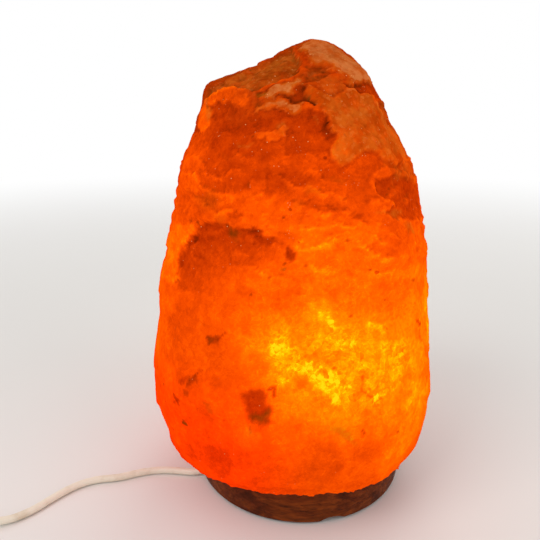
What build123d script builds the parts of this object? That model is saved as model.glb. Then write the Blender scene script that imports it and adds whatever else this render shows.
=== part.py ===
"""Salt crystal lamp.

A rough salt rock stands on a turned wooden base. A small bulb and its holder are pushed up
from below into a bore in the rock, where two spring clips hold them. A pale supply cord
leaves the base through a groove, runs to an in-line rocker switch, and its spare length
lies in a tied coil that ends in a flat two-pin plug.

Frame: millimetres, +Z up. The origin is on the table, below the centre of the wooden base.
The front of the lamp faces -Y, and +X is to its right.
"""

import math
import os

from build123d import *

# ------------------------------------------------------------------ driving sizes, millimetres

# Salt rock: how far it reaches from the axis of the base, at its widest
rock_height = 228.5
rock_reach_left = 88.6
rock_reach_right = 77.7
rock_reach_front = 83.0
rock_reach_back = 80.0
rock_columns = 24
rock_squareness = 2.25      # exponent of the cross-section: 2 is an ellipse
rock_roughness_share = 0.016     # how far its faces stand in and out, as a share of the mean reach

# Each row: share of the height, then shares of the reach to the left, right, front and back
rock_rows = [
    (0.000, 0.78, 0.85, 0.85, 0.80),
    (0.022, 0.87, 0.91, 0.93, 0.89),
    (0.053, 0.94, 0.95, 0.98, 0.96),
    (0.105, 0.98, 0.98, 1.00, 1.00),
    (0.175, 1.00, 1.00, 1.00, 1.00),
    (0.260, 0.98, 0.97, 0.98, 0.98),
    (0.350, 0.93, 0.94, 0.95, 0.94),
    (0.435, 0.92, 0.91, 0.92, 0.90),
    (0.520, 0.87, 0.88, 0.88, 0.88),
    (0.610, 0.82, 0.84, 0.83, 0.82),
    (0.695, 0.77, 0.79, 0.77, 0.76),
    (0.785, 0.68, 0.65, 0.69, 0.68),
    (0.850, 0.62, 0.55, 0.60, 0.59),
    (0.902, 0.60, 0.47, 0.52, 0.50),
    (0.945, 0.31, 0.37, 0.36, 0.38),
    (0.980, 0.09, 0.23, 0.19, 0.23),
]
rock_summit_right = 5.0     # the summit stands this far to the right of the base's axis

# Swellings and hollows: direction in degrees, share of the height, outward reach as a share
# of the mean reach, spread in degrees, spread as a share of the height
rock_lobes = [
    (222, 0.04, 0.055, 30, 0.07),
    (236, 0.50, -0.061, 26, 0.13),
    (318, 0.62, 0.030, 28, 0.10),
    (20, 0.45, -0.049, 30, 0.16),
    (75, 0.28, 0.049, 34, 0.14),
    (120, 0.60, -0.061, 30, 0.18),
    (160, 0.30, 0.030, 26, 0.12),
]

# Flat cleavage faces: direction in degrees, lean back in degrees, distance from the axis at
# the foot of the rock as a share of the mean reach
rock_cleavages = [
    (62, 9, 1.106),
    (112, 12, 1.069),
    (338, 11.5, 1.112),
    (205, 8, 1.179),
    (275, 13, 1.179),
]

# Bore in the rock for the bulb and its holder
bore_radius = 25.0
bore_depth = 110.0
bore_end_chamfer = 5.0

# Wooden base
base_top_radius = 62.0
base_foot_radius = 63.3
base_belly = 2.2            # how far the side swells beyond the top edge
base_belly_rise = 11.25     # height of the widest place above the underside
base_height = 25.0
base_lift = 1.0             # the felt ring holds the wood this far off the table
base_edge_round = 1.4
base_hole_radius = 26.0
recess_radius = 45.0
recess_depth = 7.0
groove_width = 6.6
arch_width = 16.0
arch_height = 3.0
arch_direction = 288.0

# Felt ring glued under the base
felt_outer_radius = 58.0
felt_inner_radius = 50.0
felt_gap_margin = 1.0       # how far it keeps clear of the groove and the notch

# Screws and plugs that hold the rock on the base
rock_screw_circle_radius = 36.0
rock_screw_directions = [20.0, 140.0, 260.0]
rock_screw_radius = 2.0
rock_screw_length = 36.0
screw_head_radius = 3.6
screw_head_height = 2.2
screw_head_edge = 0.9
screw_play = 0.3
wall_plug_radius = 4.0
wall_plug_length = 24.0
plug_hole_spare = 1.0       # the holes in the rock are this much deeper than the plugs

# Supply cord
cord_diameter = 4.2
cord_direction = 203.0      # the groove leaves the base towards the left, a little forward
cord_groove_height = 4.2    # height of the cord's centre inside the base
lead_bend = 13.6
lead_end_radius = 50.0      # the inner lead ends this far from the axis, inside the groove
groove_point_radius = 58.0  # the cord leaves the groove's straight line here
cord_lie = 2.15             # height of the cord's centre where it lies on the table

# Cord clamp in the recess
clamp_length = 10.0
clamp_width = 18.0
clamp_circle_radius = 36.0
clamp_floor_gap = 1.4
clamp_corner_radius = 1.5
clamp_screw_radius = 1.25
clamp_head_radius = 2.4
clamp_head_height = 1.6
clamp_screw_spacing = 11.0
clamp_screw_bite = 6.0

# Lamp holder
holder_bottom = 34.0
holder_radius = 12.6
holder_wall = 1.8
holder_edge = 0.8           # rounding of its two outer edges
holder_cap_height = 10.0
holder_height = 44.0
holder_floor = 3.0
holder_floor_height = 47.0
holder_screw_radius = 1.0
holder_screw_head_radius = 1.9
holder_screw_head_height = 1.2
holder_screw_spare = 0.5    # the screws end this far below the floor's upper face
holder_post_radius = 2.4
holder_screw_circle_radius = 9.2
lead_hole_play = 0.2
sleeve_wall = 0.35
sleeve_length = 19.0
sleeve_seat_play = 0.1
thread_radius = 6.75        # crest radius of the bulb's cap
thread_depth = 0.55
thread_pitch = 2.8
thread_play = 0.25
terminal_block = (4.0, 5.0, 4.0)
terminal_spacing = 11.0
core_radius = 0.9
core_spacing = 2.1
core_start_gap = 1.5        # the lead's sheath ends this far above the cap's floor
contact_strip = (9.0, 4.0, 0.5)
contact_button_radius = 1.6

# Clips
clip_width = 12.0
clip_thickness = 0.7
clip_root_gap = 0.1
clip_root_height = 1.5      # the straight foot of each clip
clip_play = 0.35
clip_knee_rise = 24.0
clip_tip_rise = 34.0
clip_tip_radius = 20.5
bracket_side_height = 6.0
rivet_radius = 1.1
rivet_head_radius = 2.0
rivet_head_height = 0.7
rivet_collar_radius = 1.8
rivet_collar_height = 0.6
rivet_circle_radius = 7.5

# Bulb
bulb_radius = 12.5
bulb_neck_radius = 5.7
bulb_glass_wall = 0.7
bulb_cap_length = 17.0
bulb_glass_length = 43.0
bulb_glass_seat = 3.0       # the neck reaches this far down into the cap
bulb_neck_length = 5.0
bulb_shoulder_rise = 17.0   # where the glass reaches its full width
bulb_contact_radius = 2.4
bulb_contact_height = 1.0
insulator_height = 3.0
insulator_seat = 1.5        # how far the insulator reaches up into the cap
insulator_rim = 0.4
contact_rise = 1.5           # the bulb stands this far above the holder's floor
contact_play = 0.1
stem_foot_height = 1.2
stem_waist_height = 4.0
stem_radius = 1.8
stem_head_radius = 2.4
stem_head_height = 3.0
stem_length = 19.0
filament_rise = 7.0         # the filament's ends stand this far above the stem
filament_arch = 3.0
filament_radius = 5.0
filament_wire = 0.35
support_wire = 0.4

# In-line switch
switch_length = 52.0
switch_width = 24.0
switch_height = 14.5
switch_wall = 2.0
switch_corner = 7.0
switch_edge = 2.0
rocker_length = 19.0
rocker_width = 10.5
rocker_play = 0.4
rocker_tilt = 10.0
rocker_rise = 2.2
rocker_depth = 2.0          # how far the rocker reaches below its axis
rocker_pivot_drop = 2.6     # its axis lies this far below the ceiling of the switch
rocker_pin_radius = 1.2
rocker_pin_length = 1.3
rocker_pin_play = 0.05
pin_hole_spare = 0.3        # the holes for its pins are this much deeper at each end
lug_thickness = 1.7
lug_length = 6.0
boot_length = 9.0
boot_height = 5.8           # height of the boots' axis, where the two shells meet
boot_root_radius = 4.2
boot_neck_radius = 3.0
boot_tip_radius = 3.0
boot_flange = 2.0
boot_flange_radius = 3.6
switch_screw_radius = 1.3
screw_room_radius = 2.34     # the heads' sunk holes
post_radius = 2.86
post_overlap = 0.7           # share of its radius that a post stands clear of the wall
post_inset = 8.5            # the screw posts stand this far in from the ends of the shells
switch_screw_sink = 0.6      # the screw heads lie this deep in the lower shell
switch_screw_head = 1.3
switch_screw_spare = 1.0     # the screws end this far below the ceiling of the upper shell
contact_width = 3.2
contact_spacing = 8.4
contact_strip_length = 16.0
contact_strip_height = 0.8
contact_strip_shift = 4.0
contact_block_length = 5.0
contact_block_height = 3.6
contact_block_shift = 11.0

# Plug
plug_width = 35.3
plug_height = 13.7
plug_length = 34.0
plug_tail_length = 22.0
plug_tail_root = 5.2
plug_tail_tip = 3.1
plug_shoulder_width = 21.2
plug_shoulder_length = 15.3  # from the tail's root to the widest place
plug_face_width = 31.8
plug_corner_radius = 2.5
plug_edge_radius = 2.0
tail_seat = 2.0              # the tail reaches this far into the body
pin_radius = 2.0
pin_core_radius = 1.65
pin_tip_round = 1.6
pin_length = 19.0
pin_spacing = 18.6
pin_root = 8.0
sleeve_on_pin_length = 10.0
sleeve_on_pin_radius = 1.98

# Coil of spare cord: two layers of four turns
coil_centre = (-242.0, -36.0)
coil_turns_across = 4
coil_layers = 2
coil_inner_turn = 17.7
coil_lift = 0.5
coil_edge_radius = 1.7
tie_direction = 80.0
tie_length = 9.0
tie_thickness = 0.5

# Route of the cord from the groove to the switch, on to the coil, and from it to the plug
route_to_switch = [
    (-64.0, -25.9, 2.6),
    (-75.0, -24.4, cord_lie),
    (-87.0, -24.3, cord_lie),
    (-99.0, -27.8, cord_lie),
    (-110.0, -33.4, cord_lie),
    (-123.0, -35.6, cord_lie),
    (-133.5, -41.8, cord_lie),
    (-142.0, -52.4, cord_lie),
    (-150.0, -65.0, cord_lie),
    (-161.5, -74.4, 2.6),
]
switch_start = (-177.0, -79.5)
switch_heading = 189.0
route_to_coil = [
    (-262.0, -93.0, 3.4),
    (-276.5, -88.0, cord_lie),
    (-284.5, -74.5, cord_lie),
    (-284.0, -58.5, cord_lie),
    (-277.5, -45.5, 2.4),
]
coil_entry = (-272.6, -36.5, 2.6)
coil_exit = (-272.3, -29.0, 6.8)
route_to_plug = [
    (-273.8, -18.0, 6.5),
    (-276.8, -6.0, 6.4),
]
plug_start = (-278.0, 6.0)

# ------------------------------------------------------------------ sizes worked out from those

base_bottom = base_lift
base_top = base_bottom + base_height
ceiling = base_bottom + recess_depth
cord_radius = cord_diameter / 2
rock_bottom = base_top
holder_top = holder_bottom + holder_height
cap_top = holder_bottom + holder_cap_height
sleeve_bottom = holder_floor_height + holder_floor
bulb_bottom = sleeve_bottom + contact_rise
cap_bottom = bulb_bottom + bulb_contact_height + insulator_height
glass_bottom = cap_bottom + bulb_cap_length - bulb_glass_seat
sleeve_inner_radius = thread_radius + thread_play
lead_top = holder_bottom + holder_wall + core_start_gap
stem_top = glass_bottom + stem_length
filament_height = stem_top + filament_rise
rock_mean_reach = (rock_reach_left + rock_reach_right + rock_reach_front + rock_reach_back) / 4
coil_width = coil_turns_across * cord_diameter
coil_mean_radius = coil_inner_turn + (coil_turns_across - 1) * cord_diameter / 2
switch_total = switch_length + 2 * boot_length
switch_middle = switch_total / 2
switch_split = boot_height
pivot_height = switch_height - switch_wall - rocker_pivot_drop
rocker_swing = rocker_length / 2
window_length = 2 * math.sqrt(rocker_swing**2 - rocker_pivot_drop**2)
switch_place = Pos(*switch_start) * Rot(0, 0, switch_heading)
screw_head_top = switch_screw_sink + switch_screw_head
post_aside = switch_width / 2 - switch_wall - post_overlap * post_radius
post_places = [
    (boot_length + post_inset, post_aside),
    (switch_total - boot_length - post_inset, -post_aside),
]
plug_axis_height = plug_height / 2
plug_face = plug_tail_length + plug_length
plug_place = Pos(*plug_start) * Rot(0, 0, 90)


def polar(radius, direction, height=0.0):
    """The point at this radius and direction round the base's axis."""
    angle = math.radians(direction)
    return Vector(radius * math.cos(angle), radius * math.sin(angle), height)


def rod(radius, bottom, top, x=0.0, y=0.0):
    """An upright round bar between two heights."""
    return Pos(x, y, bottom) * Cylinder(
        radius, top - bottom, align=(Align.CENTER, Align.CENTER, Align.MIN)
    )


def block(length, width, height, x=0.0, y=0.0, bottom=0.0):
    """An upright box with its base centre at x, y, bottom."""
    return Pos(x, y, bottom) * Box(
        length, width, height, align=(Align.CENTER, Align.CENTER, Align.MIN)
    )


def turned(points):
    """A turned solid from its half-section: points of radius and height."""
    outline = Polyline(*[(r, 0, z) for r, z in points], close=True)
    return revolve(make_face(outline), Axis.Z)


def ring_of(radius, directions, make):
    """The same piece at each direction on a circle round the base's axis."""
    pieces = []
    for direction in directions:
        place = polar(radius, direction)
        pieces.append(make(place.X, place.Y))
    return pieces


def save(name, *pieces):
    """Write one sub-part, made of one or more separate solids."""
    solids = []
    for piece in pieces:
        solids.extend(piece.solids())
    whole = solids[0] if len(solids) == 1 else Compound(children=solids)
    export_step(whole, f"parts/{name}.step")


# ------------------------------------------------------------------ the rock


def rock_point(row, column):
    """The surface point of one row of the rock, at this column round it."""
    share, left, right, front, back = row
    low_x, high_x = -rock_reach_left * left, rock_reach_right * right
    low_y, high_y = -rock_reach_front * front, rock_reach_back * back
    turn = 2 * math.pi * column / rock_columns
    power = 2 / rock_squareness
    across = math.copysign(abs(math.cos(turn)) ** power, math.cos(turn))
    along = math.copysign(abs(math.sin(turn)) ** power, math.sin(turn))
    x = (low_x + high_x) / 2 + (high_x - low_x) / 2 * across
    y = (low_y + high_y) / 2 + (high_y - low_y) / 2 * along
    height = rock_height * share
    waves = math.sin(2.3 * column + 41 * share) * math.sin(1.7 * column + 29 * share)
    outward = rock_roughness_share * rock_mean_reach * waves
    for direction, lobe_share, reach, spread, spread_share in rock_lobes:
        aside = (math.degrees(turn) - direction + 180) % 360 - 180
        near = (aside / spread) ** 2 + ((share - lobe_share) / spread_share) ** 2
        outward += reach * rock_mean_reach * math.exp(-near)
    length = math.hypot(x, y)
    x += outward * x / length
    y += outward * y / length
    for direction, lean, distance in rock_cleavages:
        flat = polar(1, direction)
        leaning = height * math.tan(math.radians(lean))
        beyond = x * flat.X + y * flat.Y + leaning - distance * rock_mean_reach
        x -= max(beyond, 0) * flat.X
        y -= max(beyond, 0) * flat.Y
    return Vector(x, y, rock_bottom + height)


def triangle(*corners):
    """A flat face on three points."""
    return Face(Wire.make_polygon(corners))


def raw_rock():
    """The rock as a closed skin of flat faces: rows of points, each turned half a step."""
    rings = []
    for level, row in enumerate(rock_rows):
        shift = 0.5 * (level % 2)
        rings.append([rock_point(row, column + shift) for column in range(rock_columns)])
    faces = [Face(Wire.make_polygon(rings[0]))]
    for level, (lower, upper) in enumerate(zip(rings, rings[1:])):
        for this in range(rock_columns):
            after = (this + 1) % rock_columns
            if level % 2 == 0:
                faces.append(triangle(lower[this], lower[after], upper[this]))
                faces.append(triangle(lower[after], upper[after], upper[this]))
            else:
                faces.append(triangle(lower[this], lower[after], upper[after]))
                faces.append(triangle(lower[this], upper[after], upper[this]))
    summit = Vector(rock_summit_right, 0, rock_bottom + rock_height)
    for this in range(rock_columns):
        faces.append(triangle(rings[-1][this], rings[-1][(this + 1) % rock_columns], summit))
    return Solid(Shell(faces))


def salt_crystal():
    """The rock with its bore for the bulb and the holes for the three plugs."""
    bore = rod(bore_radius, rock_bottom, rock_bottom + bore_depth)
    bore = chamfer(bore.edges().sort_by(Axis.Z)[-1], bore_end_chamfer)
    rock = raw_rock() - bore
    for hole in ring_of(rock_screw_circle_radius, rock_screw_directions, lambda x, y: rod(
        wall_plug_radius, rock_bottom, rock_bottom + wall_plug_length + plug_hole_spare, x, y
    )):
        rock -= hole
    return rock


# ------------------------------------------------------------------ the base and what fixes the rock


def wooden_base():
    """The turned base: a slightly swollen disc, open below, with its grooves and holes."""
    foot_of_side = (base_foot_radius, 0, base_bottom)
    belly = (base_top_radius + base_belly, 0, base_bottom + base_belly_rise)
    head_of_side = (base_top_radius, 0, base_top)
    outline = [
        ThreePointArc(foot_of_side, belly, head_of_side),
        Line(head_of_side, (0, 0, base_top)),
        Line((0, 0, base_top), (0, 0, base_bottom)),
        Line((0, 0, base_bottom), foot_of_side),
    ]
    wood = revolve(make_face(Curve() + outline), Axis.Z)
    rims = wood.edges().filter_by(GeomType.CIRCLE).sort_by(Axis.Z)
    wood = fillet([rims[0], rims[-1]], base_edge_round)
    beyond_rim = base_top_radius + 3 * base_belly
    arch_radius = (arch_width**2 / 4 + arch_height**2) / (2 * arch_height)
    arch = Pos(beyond_rim / 2, 0, base_bottom + arch_height - arch_radius) * Rot(0, 90, 0)
    wood -= rod(base_hole_radius, base_bottom, base_top)
    wood -= rod(recess_radius, base_bottom, ceiling)
    wood -= Rot(0, 0, cord_direction) * block(
        beyond_rim, groove_width, recess_depth, x=beyond_rim / 2, bottom=base_bottom
    )
    wood -= Rot(0, 0, arch_direction) * arch * Cylinder(arch_radius, beyond_rim)
    for hole in ring_of(rock_screw_circle_radius, rock_screw_directions, lambda x, y: rod(
        rock_screw_radius + screw_play, ceiling, base_top, x, y
    )):
        wood -= hole
    for x, y in clamp_screw_places():
        wood -= rod(clamp_screw_radius, ceiling, ceiling + clamp_screw_bite, x, y)
    return wood


def felt_ring():
    """The felt under the base: a ring in two parts, open at the groove and at the notch."""
    ring = rod(felt_outer_radius, 0, base_lift) - rod(felt_inner_radius, 0, base_lift)
    for direction, width in ((cord_direction, groove_width), (arch_direction, arch_width)):
        across = width + 2 * felt_gap_margin
        gap = block(felt_outer_radius, across, base_lift, x=felt_outer_radius / 2)
        ring -= Rot(0, 0, direction) * gap
    return ring


def rock_screw(x, y):
    """A pan-head screw up through the wood into the rock's plug."""
    head = rod(screw_head_radius, ceiling - screw_head_height, ceiling, x, y)
    head = fillet(head.edges().sort_by(Axis.Z)[0], screw_head_edge)
    return head + rod(rock_screw_radius, ceiling, ceiling + rock_screw_length, x, y)


def wall_plug(x, y):
    """A nylon plug in the rock, open for its screw."""
    outside = rod(wall_plug_radius, rock_bottom, rock_bottom + wall_plug_length, x, y)
    return outside - rod(rock_screw_radius, rock_bottom, rock_bottom + wall_plug_length, x, y)


def clamp_screw_places():
    """The two screws of the cord clamp stand either side of the cord."""
    middle = polar(clamp_circle_radius, cord_direction)
    aside = polar(clamp_screw_spacing / 2, cord_direction + 90)
    return [(middle.X + side * aside.X, middle.Y + side * aside.Y) for side in (-1, 1)]


def cord_clamp():
    """The block that grips the cord against the ceiling of the recess."""
    height = ceiling - clamp_floor_gap
    body = block(clamp_length, clamp_width, height, x=clamp_circle_radius, bottom=clamp_floor_gap)
    body = fillet(body.edges().filter_by(Axis.Z), clamp_corner_radius)
    cord_way = Rot(0, 90, 0) * Cylinder(cord_radius, clamp_length)
    body -= Pos(clamp_circle_radius, 0, cord_groove_height) * cord_way
    body = Rot(0, 0, cord_direction) * body
    for x, y in clamp_screw_places():
        body -= clamp_screw(x, y)
    return body


def clamp_screw(x, y):
    """A small screw of the clamp, its head sunk in the block."""
    head = rod(clamp_head_radius, clamp_floor_gap, clamp_floor_gap + clamp_head_height, x, y)
    return head + rod(clamp_screw_radius, clamp_floor_gap, ceiling + clamp_screw_bite, x, y)


# ------------------------------------------------------------------ the lamp holder and its clips


def thread_profile(crest, bottom, top, wide_mouth=False):
    """Radius and height along a rolled thread, from the bottom up, as a row of rings."""
    points = [(crest - thread_depth, bottom)]
    height = bottom + 0.3 * thread_pitch
    while height + 0.6 * thread_pitch < top:
        points.append((crest - thread_depth, height))
        points.append((crest, height + 0.2 * thread_pitch))
        points.append((crest, height + 0.5 * thread_pitch))
        points.append((crest - thread_depth, height + 0.7 * thread_pitch))
        height += thread_pitch
    if wide_mouth:
        return points[:-2] + [(crest, top)]
    return points + [(crest - thread_depth, top)]


def holder_screw_places():
    """The two long screws stand front and back of the lead."""
    return [(0, side * holder_screw_circle_radius) for side in (-1, 1)]


def holder_cap():
    """The lower cap: a cup with a hole for the lead and two screw posts."""
    inside = holder_radius - holder_wall
    cup = rod(holder_radius, holder_bottom, cap_top)
    cup = fillet(cup.edges().sort_by(Axis.Z)[0], holder_edge)
    cup -= rod(inside, holder_bottom + holder_wall, cap_top)
    for x, y in holder_screw_places():
        cup += rod(holder_radius, holder_bottom + holder_wall, cap_top) & rod(
            holder_post_radius, holder_bottom + holder_wall, cap_top, x, y
        )
    for x, y in holder_screw_places():
        cup -= rod(holder_screw_radius, holder_bottom, cap_top, x, y)
        cup -= rod(holder_screw_head_radius, holder_bottom, holder_bottom + holder_screw_head_height, x, y)
    cup -= rod(cord_radius + lead_hole_play, holder_bottom, cap_top)
    for side in (-1, 1):
        cup -= rod(rivet_radius, holder_bottom, cap_top, side * rivet_circle_radius)
    return cup


def holder_body():
    """The upper body: a floor for the contacts, a seat for the sleeve and an open mouth."""
    mouth_bottom = sleeve_bottom + sleeve_length
    seat = sleeve_inner_radius + sleeve_wall + sleeve_seat_play
    body = rod(holder_radius, cap_top, holder_top)
    body = fillet(body.edges().sort_by(Axis.Z)[-1], holder_edge)
    hollow = rod(holder_radius - holder_wall, cap_top, holder_floor_height)
    for x, y in holder_screw_places():
        hollow -= rod(holder_post_radius, cap_top, holder_floor_height, x, y)
    body -= hollow
    body -= rod(seat, sleeve_bottom, mouth_bottom)
    body -= rod(holder_radius - holder_wall, mouth_bottom, holder_top)
    for x, y in holder_screw_places():
        body -= rod(holder_screw_radius, cap_top, sleeve_bottom - holder_screw_spare, x, y)
    return body


def holder_screw(x, y):
    """A long screw up through the cap into the body."""
    head = rod(holder_screw_head_radius, holder_bottom, holder_bottom + holder_screw_head_height, x, y)
    return head + rod(holder_screw_radius, holder_bottom, sleeve_bottom - holder_screw_spare, x, y)


def holder_sleeve():
    """The threaded metal sleeve, standing on the holder's floor."""
    foot_top = cap_bottom - contact_play
    foot = [(sleeve_inner_radius, sleeve_bottom), (sleeve_inner_radius, foot_top)]
    top = sleeve_bottom + sleeve_length
    inner = foot + thread_profile(sleeve_inner_radius, cap_bottom, top, wide_mouth=True)
    outer = [(radius + sleeve_wall, height) for radius, height in reversed(inner)]
    return turned(inner + outer)


def holder_contact():
    """The springy centre contact on the holder's floor."""
    length, width, height = contact_strip
    strip = block(length, width, height, bottom=sleeve_bottom)
    return strip + rod(contact_button_radius, sleeve_bottom, bulb_bottom - contact_play)


def terminal(side):
    """A brass terminal block under the holder's floor."""
    length, width, height = terminal_block
    return block(
        length, width, height, x=side * terminal_spacing / 2, bottom=holder_floor_height - height
    )


def wire(start, end, radius):
    """A straight round wire between two points."""
    path = Line(start, end)
    return sweep(Plane(origin=path @ 0, z_dir=path % 0) * Circle(radius), path=path)


def lead_core(side):
    """One insulated core from the end of the lead up to its terminal."""
    block_bottom = holder_floor_height - terminal_block[2]
    return wire(
        (side * core_spacing / 2, 0, lead_top + core_radius),
        (side * terminal_spacing / 2, 0, block_bottom),
        core_radius,
    )


def strip(points, thickness, width):
    """A bent sheet strip: points of its middle line, in X and Z, spread along Y."""
    left, right = [], []
    for index, point in enumerate(points):
        before = points[max(index - 1, 0)]
        after = points[min(index + 1, len(points) - 1)]
        first = Vector(point[0] - before[0], point[1] - before[1])
        second = Vector(after[0] - point[0], after[1] - point[1])
        if first.length == 0:
            first = second
        if second.length == 0:
            second = first
        along = (first.normalized() + second.normalized()).normalized()
        reach = thickness / 2 / along.dot(first.normalized())
        left.append((point[0] - along.Y * reach, 0, point[1] + along.X * reach))
        right.append((point[0] + along.Y * reach, 0, point[1] - along.X * reach))
    face = make_face(Polyline(*left, *reversed(right), close=True))
    return extrude(face, amount=width / 2, both=True)


def clip_bracket():
    """The U-shaped strip under the holder that carries the two spring clips."""
    side = holder_radius + clip_play + clip_thickness / 2
    low = holder_bottom - clip_thickness / 2
    high = holder_bottom - clip_thickness + bracket_side_height
    bracket = strip([(-side, high), (-side, low), (side, low), (side, high)], clip_thickness, clip_width)
    below = holder_bottom - 2 * clip_thickness
    bracket -= rod(cord_radius + lead_hole_play, below, holder_bottom)
    for sign in (-1, 1):
        bracket -= rod(rivet_radius, below, holder_bottom, sign * rivet_circle_radius)
    return bracket


def bracket_rivet(x, y):
    """A rivet through the bracket and the floor of the cap."""
    low, high = holder_bottom - clip_thickness, holder_bottom + holder_wall
    return (
        rod(rivet_radius, low, high, x, y)
        + rod(rivet_head_radius, low - rivet_head_height, low, x, y)
        + rod(rivet_collar_radius, high, high + rivet_collar_height, x, y)
    )


def clip(side):
    """A spring clip: up and out to the wall of the bore, then back in to its finger tip."""
    root_x = holder_radius + clip_play + clip_thickness / 2
    root_z = holder_bottom - clip_thickness + bracket_side_height + clip_root_gap
    knee_x = math.sqrt((bore_radius - clip_play) ** 2 - clip_width**2 / 4) - clip_thickness
    points = [
        (root_x, root_z),
        (root_x, root_z + clip_root_height),
        (knee_x, root_z + clip_knee_rise),
        (clip_tip_radius, root_z + clip_tip_rise),
    ]
    return strip([(side * x, z) for x, z in points], clip_thickness, clip_width)


# ------------------------------------------------------------------ the bulb


def bulb_solid(shrink):
    """The bulb's outer form, made smaller all round by shrink."""
    top = glass_bottom + bulb_glass_length - shrink
    neck = bulb_neck_radius - shrink
    wide = bulb_radius - shrink
    shoulder = glass_bottom + bulb_shoulder_rise
    neck_top = glass_bottom + bulb_neck_length
    crown = glass_bottom + bulb_glass_length - bulb_radius
    start = glass_bottom if shrink == 0 else glass_bottom - 1
    middle = math.sqrt(0.5) * wide
    outline = [
        Line((0, 0, start), (neck, 0, start)),
        Line((neck, 0, start), (neck, 0, neck_top)),
        Spline((neck, 0, neck_top), (wide, 0, shoulder), tangents=((0, 0, 1), (0, 0, 1))),
        Line((wide, 0, shoulder), (wide, 0, crown)),
        ThreePointArc((wide, 0, crown), (middle, 0, crown + middle), (0, 0, top)),
        Line((0, 0, top), (0, 0, start)),
    ]
    return revolve(make_face(Curve() + outline), Axis.Z)


def bulb_glass():
    """The glass envelope, open at its neck."""
    return bulb_solid(0) - bulb_solid(bulb_glass_wall)


def bulb_cap():
    """The threaded cap of thin metal, cemented round the neck of the glass."""
    cap_top_height = cap_bottom + bulb_cap_length
    outer = thread_profile(thread_radius, cap_bottom, cap_top_height)
    return turned(outer + [(bulb_neck_radius, cap_top_height), (bulb_neck_radius, cap_bottom)])


def bulb_insulator():
    """The black glass foot between cap and centre contact."""
    low = bulb_bottom + bulb_contact_height
    return turned([
        (0, low),
        (bulb_contact_radius + insulator_rim, low),
        (bulb_neck_radius, cap_bottom),
        (bulb_neck_radius, cap_bottom + insulator_seat),
        (0, cap_bottom + insulator_seat),
    ])


def bulb_stem():
    """The glass stem that closes the neck and carries the wires."""
    inside = bulb_neck_radius - bulb_glass_wall
    return turned([
        (0, glass_bottom),
        (inside, glass_bottom),
        (inside, glass_bottom + stem_foot_height),
        (stem_radius, glass_bottom + stem_waist_height),
        (stem_radius, stem_top - stem_head_height),
        (stem_head_radius, stem_top - 2 * stem_head_height / 3),
        (stem_radius, stem_top),
        (0, stem_top),
    ])


def bulb_supports():
    """The two lead-in wires that rise from the stem to the filament."""
    wires = []
    for side in (-1, 1):
        foot = (side * stem_radius / 2, 0, stem_top)
        head = (side * filament_radius, 0, filament_height)
        wires.append(wire(foot, head, support_wire))
    return wires


def bulb_filament():
    """The filament: a fine wire in a shallow arch between the lead-in wires."""
    path = ThreePointArc(
        (-filament_radius, 0, filament_height + support_wire),
        (0, 0, filament_height + filament_arch),
        (filament_radius, 0, filament_height + support_wire),
    )
    return sweep(Plane(origin=path @ 0, z_dir=path % 0) * Circle(filament_wire), path=path)


# ------------------------------------------------------------------ cord


def corner_radii(points):
    """The largest arcs that the runs each side of a corner allow, one for each corner."""
    radii = []
    for before, corner, after in zip(points, points[1:], points[2:]):
        run_in, run_out = Vector(corner) - Vector(before), Vector(after) - Vector(corner)
        half_turn = math.radians(run_in.get_angle(run_out)) / 2
        radii.append(0.45 * min(run_in.length, run_out.length) / math.tan(half_turn))
    return radii


def cord(name, points, radii=None):
    """A stretch of cord: straight runs joined by tangent arcs."""
    radii = radii or corner_radii(points)
    path = FilletPolyline(*points, radius=radii)
    tube = sweep(Plane(origin=path @ 0, z_dir=path % 0) * Circle(cord_radius), path=path)
    expected = math.pi * cord_radius**2 * path.length
    print(name, "radii", [round(radius, 1) for radius in radii])
    print(name, "length", round(path.length, 1), "volume", round(tube.volume), "expected", round(expected))
    return tube


def cord_coil():
    """The outer form of the coil of spare cord."""
    inner = coil_inner_turn - cord_radius
    height = coil_layers * cord_diameter
    ring = turned([
        (inner, coil_lift),
        (inner + coil_width, coil_lift),
        (inner + coil_width, coil_lift + height),
        (inner, coil_lift + height),
    ])
    ring = fillet(ring.edges().filter_by(GeomType.CIRCLE), coil_edge_radius)
    return Pos(*coil_centre) * ring


def coil_tie():
    """A thin tie round the bundle of turns, on the side away from the lamp's front."""
    inner = coil_inner_turn - cord_radius
    low, high = coil_lift, coil_lift + coil_layers * cord_diameter
    band = tie_thickness

    def section(margin):
        return Polyline(
            (inner - margin, 0, low - margin),
            (inner + coil_width + margin, 0, low - margin),
            (inner + coil_width + margin, 0, high + margin),
            (inner - margin, 0, high + margin),
            close=True,
        )

    sweep_angle = math.degrees(tie_length / coil_mean_radius)
    loop = revolve(make_face(section(band)), Axis.Z, sweep_angle)
    loop -= revolve(make_face(section(0)), Axis.Z, sweep_angle)
    return Pos(*coil_centre) * Rot(0, 0, tie_direction) * loop


# ------------------------------------------------------------------ in-line switch


def switch_blank(shrink):
    """The switch's outer form, or its hollow when shrunk by the wall."""
    length, width = switch_length - 2 * shrink, switch_width - 2 * shrink
    form = block(length, width, switch_height - 2 * shrink, x=switch_middle, bottom=shrink)
    form = fillet(form.edges().filter_by(Axis.Z), switch_corner - shrink)
    if shrink == 0:
        ends = form.faces().filter_by(Axis.Z)
        form = fillet([edge for face in ends for edge in face.edges()], switch_edge)
    return form


def lying(radius, start, end, height):
    """A round bar along the switch or plug, between two distances from its tip."""
    return Pos(start, 0, height) * Rot(0, 90, 0) * Cylinder(
        radius, end - start, align=(Align.CENTER, Align.CENTER, Align.MIN)
    )


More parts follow.
